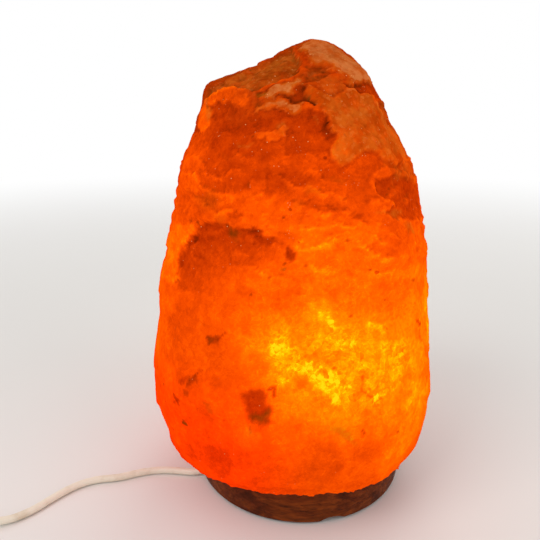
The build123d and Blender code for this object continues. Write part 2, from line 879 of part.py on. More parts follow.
def switch_boot(flip):
    """The rubber boot where the cord enters: a cone, a neck in the wall and a flange inside."""
    neck_end = boot_length + switch_wall
    profile = [
        (0, 0),
        (0, boot_tip_radius),
        (boot_length, boot_root_radius),
        (boot_length, boot_neck_radius),
        (neck_end, boot_neck_radius),
        (neck_end, boot_flange_radius),
        (neck_end + boot_flange, boot_flange_radius),
        (neck_end + boot_flange, 0),
    ]
    outline = Polyline(*[(x, 0, switch_split + radius) for x, radius in profile], close=True)
    boot = revolve(make_face(outline), Axis((0, 0, switch_split), (1, 0, 0)))
    if flip:
        boot = Pos(switch_total, 0, 0) * Rot(0, 0, 180) * boot
    return boot


def switch_case():
    """Both shells in one, hollow, with the holes for the boots' necks."""
    case = switch_blank(0) - switch_blank(switch_wall)
    case -= lying(boot_neck_radius, 0, switch_total, switch_split)
    return case


def switch_lower_shell():
    """The lower shell with its two screw posts."""
    shell = switch_case() & block(
        switch_total, 2 * switch_width, switch_split, x=switch_middle
    )
    for x, y in post_places:
        shell += rod(post_radius, switch_wall, switch_split, x, y)
    for x, y in post_places:
        shell -= switch_screw(x, y) + rod(screw_room_radius, 0, screw_head_top, x, y)
    return shell


def switch_upper_shell():
    """The upper shell with the rocker's window and the two lugs that hold its pins."""
    upper_height = switch_height - switch_split
    shell = switch_case() & block(
        switch_total, 2 * switch_width, upper_height, x=switch_middle, bottom=switch_split
    )
    for x, y in post_places:
        shell += rod(post_radius, switch_split, switch_height - switch_wall, x, y)
    for x, y in post_places:
        shell -= switch_screw(x, y)
    lug_height = switch_height - switch_wall - pivot_height + 2 * rocker_pin_radius
    for side in (-1, 1):
        lug_y = side * (rocker_width / 2 + rocker_play + lug_thickness / 2)
        shell += block(
            lug_length,
            lug_thickness,
            lug_height,
            x=switch_middle,
            y=lug_y,
            bottom=pivot_height - 2 * rocker_pin_radius,
        )
    shell -= block(
        window_length + 2 * rocker_play,
        rocker_width + 2 * rocker_play,
        3 * switch_wall,
        x=switch_middle,
        bottom=switch_height - 2 * switch_wall,
    )
    across = rocker_width + 2 * rocker_play + 2 * rocker_pin_length + 2 * pin_hole_spare
    hole = Rot(90, 0, 0) * Cylinder(rocker_pin_radius + rocker_pin_play, across)
    return shell - Pos(switch_middle, 0, pivot_height) * hole


def switch_rocker():
    """The rocker: a rounded bar with a shallow V on top, tilted to its first side."""
    rise = switch_height + rocker_rise - pivot_height
    dip = rise - math.tan(math.radians(rocker_tilt)) * rocker_swing
    wide = 1.2 * rocker_swing
    ends = dip + math.tan(math.radians(rocker_tilt)) * wide
    vee = Polyline(
        (-wide, 0, -rocker_depth),
        (-wide, 0, ends),
        (0, 0, dip),
        (wide, 0, ends),
        (wide, 0, -rocker_depth),
        close=True,
    )
    bar = extrude(make_face(vee), amount=rocker_width / 2, both=True)
    bar &= Rot(90, 0, 0) * Cylinder(rocker_swing, rocker_width)
    across = rocker_width + 2 * rocker_play + 2 * rocker_pin_length
    bar += Rot(90, 0, 0) * Cylinder(rocker_pin_radius, across)
    return Pos(switch_middle, 0, pivot_height) * Rot(0, -rocker_tilt, 0) * bar


def switch_screw(x, y):
    """A screw up through the lower shell into the upper one."""
    head = rod(screw_room_radius, switch_screw_sink, screw_head_top, x, y)
    tip = switch_height - switch_wall - switch_screw_spare
    return head + rod(switch_screw_radius, screw_head_top, tip, x, y)


def switch_contact(side):
    """A brass contact: a strip on the floor with a terminal block at its end."""
    y = side * contact_spacing / 2
    strip_x = switch_middle - side * contact_strip_shift
    block_x = switch_middle - side * contact_block_shift
    return block(
        contact_strip_length, contact_width, contact_strip_height, strip_x, y, switch_wall
    ) + block(
        contact_block_length, contact_width, contact_block_height, block_x, y, switch_wall
    )


# ------------------------------------------------------------------ plug


def plug_body():
    """The flat moulded body, narrow at its tail and six-sided seen from above."""
    widest = plug_tail_length + plug_shoulder_length
    outline = Polyline(
        (plug_tail_length, -plug_shoulder_width / 2),
        (widest, -plug_width / 2),
        (plug_face, -plug_face_width / 2),
        (plug_face, plug_face_width / 2),
        (widest, plug_width / 2),
        (plug_tail_length, plug_shoulder_width / 2),
        close=True,
    )
    body = extrude(make_face(outline), plug_height)
    body = fillet(body.edges().filter_by(Axis.Z), plug_corner_radius)
    ends = body.faces().filter_by(Axis.Z)
    body = fillet([edge for face in ends for edge in face.edges()], plug_edge_radius)
    tail_reach = plug_tail_length + tail_seat
    tail = Cone(plug_tail_tip, plug_tail_root, tail_reach)
    body += Pos(tail_reach / 2, 0, plug_axis_height) * Rot(0, 90, 0) * tail
    for side in (-1, 1):
        body -= Pos(0, side * pin_spacing / 2, 0) * pin_core()
    return body


def pin_core():
    """The thin inner half of a pin, in the body and inside its sleeve."""
    return lying(
        pin_core_radius, plug_face - pin_root, plug_face + sleeve_on_pin_length, plug_axis_height
    )


def plug_pin(side):
    """A round pin, thinner where its sleeve lies, with a rounded tip."""
    sleeve_end = plug_face + sleeve_on_pin_length
    tip = lying(pin_radius, sleeve_end, plug_face + pin_length, plug_axis_height)
    tip = fillet(tip.edges().sort_by(Axis.X)[-1], pin_tip_round)
    return Pos(0, side * pin_spacing / 2, 0) * (tip + pin_core())


def plug_sleeve(side):
    """The insulating sleeve on the root half of a pin."""
    sleeve_end = plug_face + sleeve_on_pin_length
    sleeve = lying(sleeve_on_pin_radius, plug_face, sleeve_end, plug_axis_height)
    return Pos(0, side * pin_spacing / 2, 0) * (sleeve - pin_core())


# ------------------------------------------------------------------ build everything

os.makedirs("parts", exist_ok=True)

save("salt_crystal", salt_crystal())
save("wooden_base", wooden_base())
save("felt_ring", felt_ring())
save("rock_screws", *ring_of(rock_screw_circle_radius, rock_screw_directions, rock_screw))
save("wall_plugs", *ring_of(rock_screw_circle_radius, rock_screw_directions, wall_plug))
save("cord_clamp", cord_clamp())
save("clamp_screws", *[clamp_screw(x, y) for x, y in clamp_screw_places()])

save("holder_cap", holder_cap())
save("holder_body", holder_body())
save("holder_screws", *[holder_screw(x, y) for x, y in holder_screw_places()])
save("holder_sleeve", holder_sleeve())
save("holder_contact", holder_contact())
save("holder_terminals", terminal(-1), terminal(1))
save("lead_cores", lead_core(-1), lead_core(1))
save("clip_bracket", clip_bracket())
save("bracket_rivets", bracket_rivet(-rivet_circle_radius, 0), bracket_rivet(rivet_circle_radius, 0))
save("clip_left", clip(-1))
save("clip_right", clip(1))

save("bulb_glass", bulb_glass())
save("bulb_cap", bulb_cap())
save("bulb_insulator", bulb_insulator())
save("bulb_contact", rod(bulb_contact_radius, bulb_bottom, bulb_bottom + bulb_contact_height))
save("bulb_stem", bulb_stem())
save("bulb_supports", *bulb_supports())
save("bulb_filament", bulb_filament())

lead_end = polar(lead_end_radius, cord_direction, cord_groove_height)
lead_path = [(0, 0, lead_top), (0, 0, cord_groove_height), lead_end]
groove_point = polar(groove_point_radius, cord_direction, cord_groove_height)
boot_axis = Vector(0, 0, switch_split)
near_boot = Vector(*switch_start) + boot_axis
far_boot = near_boot + polar(switch_total, switch_heading)
tail_tip = Vector(*plug_start) + Vector(0, 0, plug_axis_height)
save("inner_lead", cord("inner_lead", lead_path, [lead_bend]))
save("cord_tube", cord("cord_tube", [lead_end, groove_point, *route_to_switch, near_boot]))
save("cord_to_coil", cord("cord_to_coil", [far_boot, *route_to_coil, coil_entry]))
save("cord_end", cord("cord_end", [coil_exit, *route_to_plug, tail_tip]))
save("cord_coil", cord_coil())
save("coil_tie", coil_tie())

save("switch_lower_shell", switch_place * switch_lower_shell())
save("switch_upper_shell", switch_place * switch_upper_shell())
save("switch_rocker", switch_place * switch_rocker())
save("switch_boots", switch_place * switch_boot(False), switch_place * switch_boot(True))
save("switch_contacts", switch_place * switch_contact(-1), switch_place * switch_contact(1))
save("switch_screws", *[switch_place * switch_screw(x, y) for x, y in post_places])

save("plug_body", plug_place * plug_body())
save("plug_pins", plug_place * plug_pin(-1), plug_place * plug_pin(1))
save("plug_sleeves", plug_place * plug_sleeve(-1), plug_place * plug_sleeve(1))
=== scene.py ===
"""Salt crystal lamp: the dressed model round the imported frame, in metres."""

import math

import bpy
import numpy as np
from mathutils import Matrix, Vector, noise


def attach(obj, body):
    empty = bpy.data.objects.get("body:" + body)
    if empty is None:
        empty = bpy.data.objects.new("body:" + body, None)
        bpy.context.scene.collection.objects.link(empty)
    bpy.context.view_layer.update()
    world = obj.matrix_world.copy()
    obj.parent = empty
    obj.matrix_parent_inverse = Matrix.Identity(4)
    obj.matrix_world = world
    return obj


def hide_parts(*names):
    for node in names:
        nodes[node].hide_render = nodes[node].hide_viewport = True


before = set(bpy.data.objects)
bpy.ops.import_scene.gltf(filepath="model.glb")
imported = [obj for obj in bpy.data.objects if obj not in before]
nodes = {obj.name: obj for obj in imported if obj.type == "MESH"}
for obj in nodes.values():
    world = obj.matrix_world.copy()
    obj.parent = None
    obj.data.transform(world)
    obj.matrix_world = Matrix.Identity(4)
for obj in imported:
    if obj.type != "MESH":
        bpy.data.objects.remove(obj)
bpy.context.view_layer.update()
scene = bpy.context.scene

MM = 0.001


def placed(name, data):
    """A new object of the scene."""
    thing = bpy.data.objects.new(name, data)
    scene.collection.objects.link(thing)
    return thing


# ------------------------------------------------------------------ camera, at the photograph's angle

CAMERA_PLACE = (0.0, -0.30788, 0.22167)
CAMERA_PITCH = 73.0         # degrees, like the yaw
CAMERA_YAW = 3.463
PICTURE_SIDE = 540.0        # the picture is square, and its focal length is as long as its side
SENSOR = 36.0               # the lens is as long as the sensor is wide, in millimetres

camera_data = bpy.data.cameras.new("camera")
camera_data.lens = SENSOR
camera_data.sensor_width = SENSOR
camera_data.clip_start = 0.01
camera = placed("camera", camera_data)
camera.location = CAMERA_PLACE
camera.rotation_euler = (math.radians(CAMERA_PITCH), 0, math.radians(CAMERA_YAW))
scene.camera = camera

# ------------------------------------------------------------------ materials


class Nodes:
    """The nodes of a material or a world, which holds them."""

    def __init__(self, holder):
        holder.use_nodes = True
        self.tree = holder.node_tree

    def give(self, socket, value):
        if isinstance(value, bpy.types.NodeSocket):
            self.tree.links.new(value, socket)
        else:
            socket.default_value = value

    def add(self, kind, inputs=None, **settings):
        node = self.tree.nodes.new(kind)
        for name, value in settings.items():
            setattr(node, name, value)
        for name, value in (inputs or {}).items():
            self.give(node.inputs[name], value)
        return node

    def calculate(self, operation, *values):
        return self.add("ShaderNodeMath", dict(enumerate(values)), operation=operation).outputs[0]

    def plus(self, first, second):
        return self.calculate("ADD", first, second)

    def minus(self, first, second):
        return self.calculate("SUBTRACT", first, second)

    def times(self, first, second):
        return self.calculate("MULTIPLY", first, second)

    def joined(self, share, first, second, output):
        """Show the first node and, by the share, the second one."""
        both = self.add("ShaderNodeMixShader", {0: share, 1: first.outputs[0], 2: second.outputs[0]})
        self.give(self.tree.nodes[output].inputs["Surface"], both.outputs[0])

    def sees_background(self):
        """1 for what the camera sees, directly or in metal and glass, and 0 for light on the object."""
        path = self.add("ShaderNodeLightPath").outputs
        seen = self.calculate("MAXIMUM", path["Is Camera Ray"], path["Is Glossy Ray"])
        return self.calculate("MAXIMUM", seen, path["Is Transmission Ray"])


class Shader(Nodes):
    """A material in the making, with short calls for the textures that it needs."""

    def __init__(self, name, **sockets):
        self.material = bpy.data.materials.new(name)
        super().__init__(self.material)
        self.body = self.tree.nodes["Principled BSDF"]
        self.place = self.add("ShaderNodeTexCoord").outputs["Object"]
        self.set(**sockets)

    def set(self, **sockets):
        """Set or link sockets of the surface; an underscore stands for a space."""
        for name, value in sockets.items():
            self.give(self.body.inputs[name.replace("_", " ")], value)

    def stretched(self, scale, place=None):
        """The coordinates times a scale along each axis."""
        return self.add("ShaderNodeMapping", {"Vector": place or self.place, "Scale": scale}).outputs[0]

    def shifted(self, way, amount):
        """The coordinates moved by an amount of a direction; either may be a texture."""
        push = self.add("ShaderNodeVectorMath", {0: way, "Scale": amount}, operation="SCALE").outputs[0]
        return self.add("ShaderNodeVectorMath", {0: self.place, 1: push}, operation="ADD").outputs[0]

    def noise(self, scale, detail, roughness=0.55, place=None, distortion=0.0, output="Fac"):
        inputs = {"Vector": place or self.place, "Scale": scale, "Detail": detail}
        inputs.update({"Roughness": roughness, "Distortion": distortion})
        return self.add("ShaderNodeTexNoise", inputs).outputs[output]

    def cells(self, scale, place=None, feature="F1", output="Distance"):
        inputs = {"Vector": place or self.place, "Scale": scale}
        return self.add("ShaderNodeTexVoronoi", inputs, feature=feature).outputs[output]

    def span(self, value, low, high, out_low=0.0, out_high=1.0):
        """The value mapped smoothly from one range to another, and held there."""
        inputs = {"Value": value, "From Min": low, "From Max": high, "To Min": out_low, "To Max": out_high}
        return self.add("ShaderNodeMapRange", inputs, interpolation_type="SMOOTHSTEP").outputs["Result"]

    def mix(self, share, first, second, blend="MIX"):
        node = self.add("ShaderNodeMix", data_type="RGBA", blend_type=blend, clamp_factor=True)
        self.give(node.inputs[0], share)
        self.give(node.inputs[6], first)
        self.give(node.inputs[7], second)
        return node.outputs[2]

    def tinted(self, colour, tint):
        """The colour times another colour."""
        return self.mix(1.0, colour, tint, "MULTIPLY")

    def ramp(self, value, stops):
        node = self.add("ShaderNodeValToRGB", {"Fac": value})
        elements = node.color_ramp.elements
        while len(elements) < len(stops):
            elements.new(0.5)
        for element, (position, colour) in zip(elements, stops):
            element.position = position
            element.color = colour
        return node.outputs["Color"]

    def bump(self, height, strength, distance, under=None):
        inputs = {"Height": height, "Strength": strength, "Distance": distance}
        if under is not None:
            inputs["Normal"] = under
        return self.add("ShaderNodeBump", inputs).outputs["Normal"]

    def attribute(self, name):
        return self.add("ShaderNodeAttribute", attribute_name=name).outputs["Fac"]


def rgb(red, green, blue):
    """A colour written as the screen shows it, 0 to 255, made linear."""
    parts = []
    for part in (red, green, blue):
        share = part / 255
        parts.append(share / 12.92 if share <= 0.04045 else ((share + 0.055) / 1.055) ** 2.4)
    return (*parts, 1.0)


def scaled(colour, *shares):
    """The colour with red, green and blue times their shares, or all times the only one."""
    shares = shares * 3 if len(shares) == 1 else shares
    return (*[min(1.0, part * share) for part, share in zip(colour, shares)], 1.0)


def dress(material, *names):
    """Give CAD nodes a material in their objects' own slots."""
    for name in names:
        for place in nodes[name].material_slots:
            place.link = "OBJECT"
            place.material = material


def plastic(name, colour, roughness, grain=900.0, specular=0.45):
    """Moulded plastic: faint clouding, a fine moulded grain and a little handling wear."""
    s = Shader(name, Specular_IOR_Level=specular)
    clouding = s.span(s.noise(45.0, 4.0), 0.3, 0.7)
    s.set(Base_Color=s.mix(clouding, scaled(colour, 0.84), scaled(colour, 1.06)))
    s.set(Roughness=s.span(s.noise(120.0, 3.0), 0.3, 0.7, roughness - 0.07, roughness + 0.08))
    s.set(Normal=s.bump(s.noise(grain, 2.0), 0.12, 0.0001))
    return s.material


def metal(name, colour, roughness, along=(1.0, 1.0, 1.0)):
    """Drawn or turned metal with fine lines and a slight tarnish."""
    s = Shader(name, Metallic=1.0)
    lines = s.noise(600.0, 3.0, place=s.stretched(along))
    tarnish = s.span(s.noise(90.0, 4.0), 0.35, 0.75)
    s.set(Base_Color=s.mix(tarnish, colour, scaled(colour, 0.62)))
    dull = s.span(tarnish, 0.0, 1.0, roughness, roughness + 0.14)
    s.set(Roughness=s.plus(s.span(lines, 0.2, 0.8, -0.08, 0.08), dull))
    s.set(Normal=s.bump(lines, 0.1, 0.00005))
    return s.material


def cord_jacket(colour):
    """The cord's smooth jacket: soft sheen, slight soiling, a faint unevenness."""
    s = Shader("cord_jacket", Specular_IOR_Level=0.4, Coat_Weight=0.12, Coat_Roughness=0.35)
    soil = s.span(s.noise(70.0, 5.0, 0.6), 0.42, 0.75)
    s.set(Base_Color=s.mix(soil, colour, scaled(colour, 0.80, 0.74, 0.66)))
    s.set(Roughness=s.span(s.noise(260.0, 3.0), 0.3, 0.7, 0.34, 0.52))
    s.set(Normal=s.bump(s.noise(420.0, 3.0), 0.16, 0.00015))
    return s.material


WOOD_BEND = (0.0, 0.012, 0.006)     # how far the grain wanders, in metres
WOOD_BANDS = [
    (0.28, rgb(62, 23, 4)),
    (0.44, rgb(94, 38, 8)),
    (0.58, rgb(126, 58, 15)),
    (0.76, rgb(82, 33, 7)),
]
WOOD_STREAK = rgb(52, 21, 5)
WOOD_PORE = rgb(32, 12, 3)


def wood_material():
    """Turned sheesham: reddish brown, long grain with pores and darker bands, oiled."""
    s = Shader("wood", Specular_IOR_Level=0.08)
    plank = s.shifted(WOOD_BEND, s.noise(18.0, 3.0, 0.6))
    bands = s.noise(46.0, 5.0, 0.62, place=s.stretched((0.35, 2.4, 2.4), plank), distortion=0.6)
    streaks = s.noise(240.0, 4.0, 0.65, place=s.stretched((0.22, 2.2, 2.2), plank))
    pores = s.noise(900.0, 2.0, 0.7, place=s.stretched((0.10, 1.2, 1.2), plank))
    pores = s.span(pores, 0.34, 0.44, 1.0, 0.0)
    tone = s.ramp(bands, WOOD_BANDS)
    tone = s.mix(s.span(streaks, 0.36, 0.66, 0.0, 0.5), tone, WOOD_STREAK)
    s.set(Base_Color=s.mix(s.times(pores, 0.5), tone, WOOD_PORE))
    s.set(Roughness=s.span(streaks, 0.25, 0.75, 0.44, 0.62))
    fine = s.bump(streaks, 0.25, 0.0002)
    s.set(Normal=s.bump(s.minus(1.0, pores), 0.35, 0.00015, fine))
    return s.material


def felt_material():
    s = Shader("felt", Roughness=0.95, Specular_IOR_Level=0.1, Sheen_Weight=0.4)
    fibres = s.noise(1400.0, 4.0, 0.7)
    s.set(Base_Color=s.mix(fibres, rgb(44, 34, 30), rgb(78, 66, 60)))
    s.set(Normal=s.bump(fibres, 0.7, 0.0004))
    return s.material


def glass_material(name, tint):
    s = Shader(name, Transmission_Weight=1.0, IOR=1.5)
    faint = s.noise(60.0, 2.0)
    s.set(Base_Color=s.mix(faint, tint, scaled(tint, 0.93)))
    s.set(Roughness=s.span(faint, 0.3, 0.7, 0.02, 0.07))
    return s.material


def glowing_wire():
    s = Shader("filament", Roughness=0.6)
    heat = s.mix(s.noise(700.0, 2.0), rgb(255, 176, 60), rgb(255, 214, 120))
    s.set(Base_Color=rgb(120, 90, 60), Emission_Color=heat, Emission_Strength=4.0)
    return s.material


jacket = cord_jacket(rgb(232, 224, 206))
steel = metal("zinc_steel", rgb(196, 196, 192), 0.34)
spring_steel = metal("spring_steel", rgb(176, 178, 180), 0.28, (1.0, 1.0, 0.08))
brass = metal("brass", rgb(206, 170, 98), 0.30)

dress(wood_material(), "wooden_base")
dress(felt_material(), "felt_ring")
dress(jacket, "inner_lead")
dress(steel, "rock_screws", "clamp_screws", "holder_screws", "switch_screws", "bracket_rivets")
dress(spring_steel, "clip_bracket", "clip_left", "clip_right")
dress(brass, "holder_contact", "holder_terminals", "switch_contacts", "bulb_contact", "holder_sleeve")
dress(metal("nickel", rgb(206, 202, 192), 0.22, (0.1, 1.0, 1.0)), "plug_pins")
dress(metal("cap_metal", rgb(200, 196, 186), 0.3, (1.0, 1.0, 6.0)), "bulb_cap")
dress(metal("lead_wire", rgb(190, 184, 172), 0.3), "bulb_supports")
dress(glass_material("bulb_glass", (0.98, 0.99, 0.99, 1.0)), "bulb_glass")
dress(glass_material("stem_glass", (0.90, 0.95, 0.93, 1.0)), "bulb_stem")
dress(glowing_wire(), "bulb_filament")
dress(plastic("nylon", rgb(176, 172, 164), 0.55), "wall_plugs")
dress(plastic("clamp_plastic", rgb(214, 208, 194), 0.5), "cord_clamp")
dress(plastic("core_brown", rgb(96, 54, 30), 0.5), "lead_cores")
dress(plastic("holder_plastic", rgb(30, 28, 27), 0.32, 1100.0), "holder_cap", "holder_body")
dress(plastic("black_glass", rgb(18, 18, 22), 0.12, 300.0, 0.6), "bulb_insulator")
dress(plastic("switch_plastic", rgb(232, 225, 209), 0.40), "switch_lower_shell", "switch_upper_shell")
dress(plastic("rocker_plastic", rgb(218, 210, 192), 0.34, 1200.0), "switch_rocker")
dress(plastic("boot_rubber", rgb(226, 218, 200), 0.58, 700.0, 0.3), "switch_boots")
dress(plastic("plug_plastic", rgb(230, 222, 205), 0.45), "plug_body")
dress(plastic("sleeve_plastic", rgb(40, 38, 37), 0.45), "plug_sleeves")
dress(plastic("tie_plastic", rgb(44, 42, 41), 0.6, 500.0, 0.3), "coil_tie")

# ------------------------------------------------------------------ the supply cord

CORD_DIAMETER = 4.2         # millimetres, like the places on its route
CORD_LIE = 2.15             # how high its middle is where it lies on the floor
LEAD_END = (-46.03, -19.54, 4.2)
GROOVE_POINT = (-53.39, -22.66, 4.2)
ROUTE_TO_SWITCH = [
    (-64.0, -25.9, 2.6),
    (-75.0, -24.4, CORD_LIE),
    (-87.0, -24.3, CORD_LIE),
    (-99.0, -27.8, CORD_LIE),
    (-110.0, -33.4, CORD_LIE),
    (-123.0, -35.6, CORD_LIE),
    (-133.5, -41.8, CORD_LIE),
    (-142.0, -52.4, CORD_LIE),
    (-150.0, -65.0, CORD_LIE),
    (-161.5, -74.4, 2.6),
]
NEAR_BOOT = (-177.0, -79.5, 5.8)
FAR_BOOT = (-246.14, -90.45, 5.8)
ROUTE_TO_COIL = [
    (-262.0, -93.0, 3.4),
    (-276.5, -88.0, CORD_LIE),
    (-284.5, -74.5, CORD_LIE),
    (-284.0, -58.5, CORD_LIE),
    (-277.5, -45.5, 2.4),
]
ROUTE_TO_PLUG = [
    (-272.6, -27.0, 6.8),
    (-273.8, -18.0, 6.5),
    (-276.8, -6.0, 6.4),
]
TAIL_TIP = (-278.0, 6.0, 6.85)
COIL_CENTRE = (-242.0, -36.0)
COIL_OUTER_TURN = 30.3
COIL_LOW, COIL_HIGH = 2.6, 6.8      # the heights of the coil's two layers
TURNS_ACROSS = 4
POINTS_PER_TURN = 16
STEP_SHARE = 0.125          # each step to the next turn takes this share of a turn
CLIMB_START = 0.75          # the innermost turn climbs to the upper layer from here on


def step(value, start):
    """0 before start, 1 a step's length after it, a straight rise between."""
    return min(max((value - start) / STEP_SHARE, 0.0), 1.0)


def coil_points():
    """The turns of the coil: four inwards below, a climb, and three outwards above."""
    points = []
    last_turn = 2 * TURNS_ACROSS - 1
    pull = math.cos(math.pi / POINTS_PER_TURN)      # the spline runs this much inside its points
    for count in range(last_turn * POINTS_PER_TURN + 1):
        turns = count / POINTS_PER_TURN
        climb = step(turns, TURNS_ACROSS - 1 + CLIMB_START)
        inwards = sum(step(turns, turn + 1 - STEP_SHARE) for turn in range(TURNS_ACROSS - 1))
        outwards = sum(
            step(turns, turn + CLIMB_START - STEP_SHARE) for turn in range(TURNS_ACROSS, last_turn)
        )
        radius = (COIL_OUTER_TURN - (inwards - outwards) * CORD_DIAMETER) / pull
        angle = math.pi - 2 * math.pi * turns
        points.append((
            COIL_CENTRE[0] + radius * math.cos(angle),
            COIL_CENTRE[1] + radius * math.sin(angle),
            COIL_LOW + (COIL_HIGH - COIL_LOW) * climb,
        ))
    return points


def cord_piece(name, points, *replaced):
    """A cord on one smooth line through the route's control points, given in millimetres."""
    curve = bpy.data.curves.new(name, "CURVE")
    curve.dimensions = "3D"
    spline = curve.splines.new("NURBS")
    spline.points.add(len(points) - 1)
    for point, place in zip(spline.points, points):
        point.co = (*[MM * part for part in place], 1.0)
    spline.order_u = 3
    spline.use_endpoint_u = True
    spline.resolution_u = 8
    curve.bevel_depth = MM * CORD_DIAMETER / 2
    curve.bevel_resolution = 6
    curve.use_fill_caps = True
    curve.materials.append(jacket)
    piece = placed(name, curve)
    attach(piece, "root")
    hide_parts(*replaced)
    return piece


route_one = [LEAD_END, GROOVE_POINT, *ROUTE_TO_SWITCH, NEAR_BOOT]
route_two = [FAR_BOOT, *ROUTE_TO_COIL, *coil_points(), *ROUTE_TO_PLUG, TAIL_TIP]
cord_one = cord_piece("cord_to_switch", route_one, "cord_tube")
cord_two = cord_piece("cord_coiled", route_two, "cord_to_coil", "cord_coil", "cord_end")

# ------------------------------------------------------------------ the salt rock: places and values

# Sizes, heights and depths of the rock are millimetres, and places in the photograph are its pixels.
VOXEL = 1.4
BORE_REACH = 25.0
BORE_CLEAR = 1.6
BORE_TOP = 136.0
ROCK_BOTTOM = 26.0
BROKEN_HEIGHT = (110.0, 165.0)      # the skin gets rougher over this height
LEDGES_START = (138.0, 152.0)       # the ledges begin over this height,
LEDGES_END = (186.0, 214.0)         # and end over this one
LEDGE_RISE = 8.5                    # from one ledge to the next
LEDGE_DIP = 0.16                    # how steeply the ledges fall to the right
RIM_REACH = (40.0, 46.0)            # the ragged rim of the underside lies past this reach,
RIM_HEIGHT = (3.0, 9.0)             # and fades out over this height above the underside

# Where the wall is thin, at the front and at the back, and how bright the glow is (0 dark red,
# 1 yellow) by the distance from there.
GLOW_CENTRES = [(12.0, -23.0, 100.0), (-10.0, 16.0, 96.0)]
GLOW_REACH = [50, 58, 70, 85, 100, 120, 145, 175]
GLOW_LEVEL = [0.88, 0.80, 0.66, 0.56, 0.48, 0.37, 0.29, 0.27]

# How far the outline moves outwards, in pixels, by the row of the picture.
RIGHT_SWELL = [
    (40, 0), (100, 0), (125, -3), (165, 1), (190, 2), (220, 4), (240, 4), (256, 6), (272, 3), (380, 1),
    (420, 0),
]
LEFT_SWELL = [(40, 0), (150, 1), (180, 1), (198, -2), (215, 0), (400, 0), (430, -6), (470, -6)]
SWELL_FULL = 115.0                  # this many pixels from the rock's middle the outline moves in full

# What the photograph shows on the rock's front. A feature's glow is added to the glow that the salt's
# colour is worked out from, and its frost and stain take the place of what was there.
PATCH_DRIFT = 4.0                   # about how far noise moves the edges, in pixels
STREAK_DRIFT = 3.0
SPECK_DRIFT = 2.0
LIP_INSIDE = 1.3                    # how far a lip's light and its dark are from a patch's edge
LIP_OUTSIDE = 1.7
WIDE_STREAK = 2.0                   # wider streaks are broken up


def patch(*outline, depth=0.0, edge=4.0, glow=0.0, frost=0.0, stain=0.0, ragged=1.0, painted_lip=0.0, fade=None):
    """An area that is sunk (or raised, below 0), brighter, paler or dirtier. It may fade along a line.

    Its painted lip is how strong the painted highlight just inside its border and the painted shade just
    outside it are; below 0 they change places."""
    return {
        "outline": outline, "depth": depth, "edge": edge, "glow": glow, "frost": frost, "stain": stain,
        "ragged": ragged, "painted_lip": painted_lip, "fade": fade,
    }


def box(left, top, right, bottom):
    return (left, top), (right, top), (right, bottom), (left, bottom)


def streak(*line, width=1.5, depth=0.0, glow=0.0, frost=0.0, stain=0.0):
    """A crack, a vein or a bright edge along a line."""
    return {"line": line, "width": width, "depth": depth, "glow": glow, "frost": frost, "stain": stain}


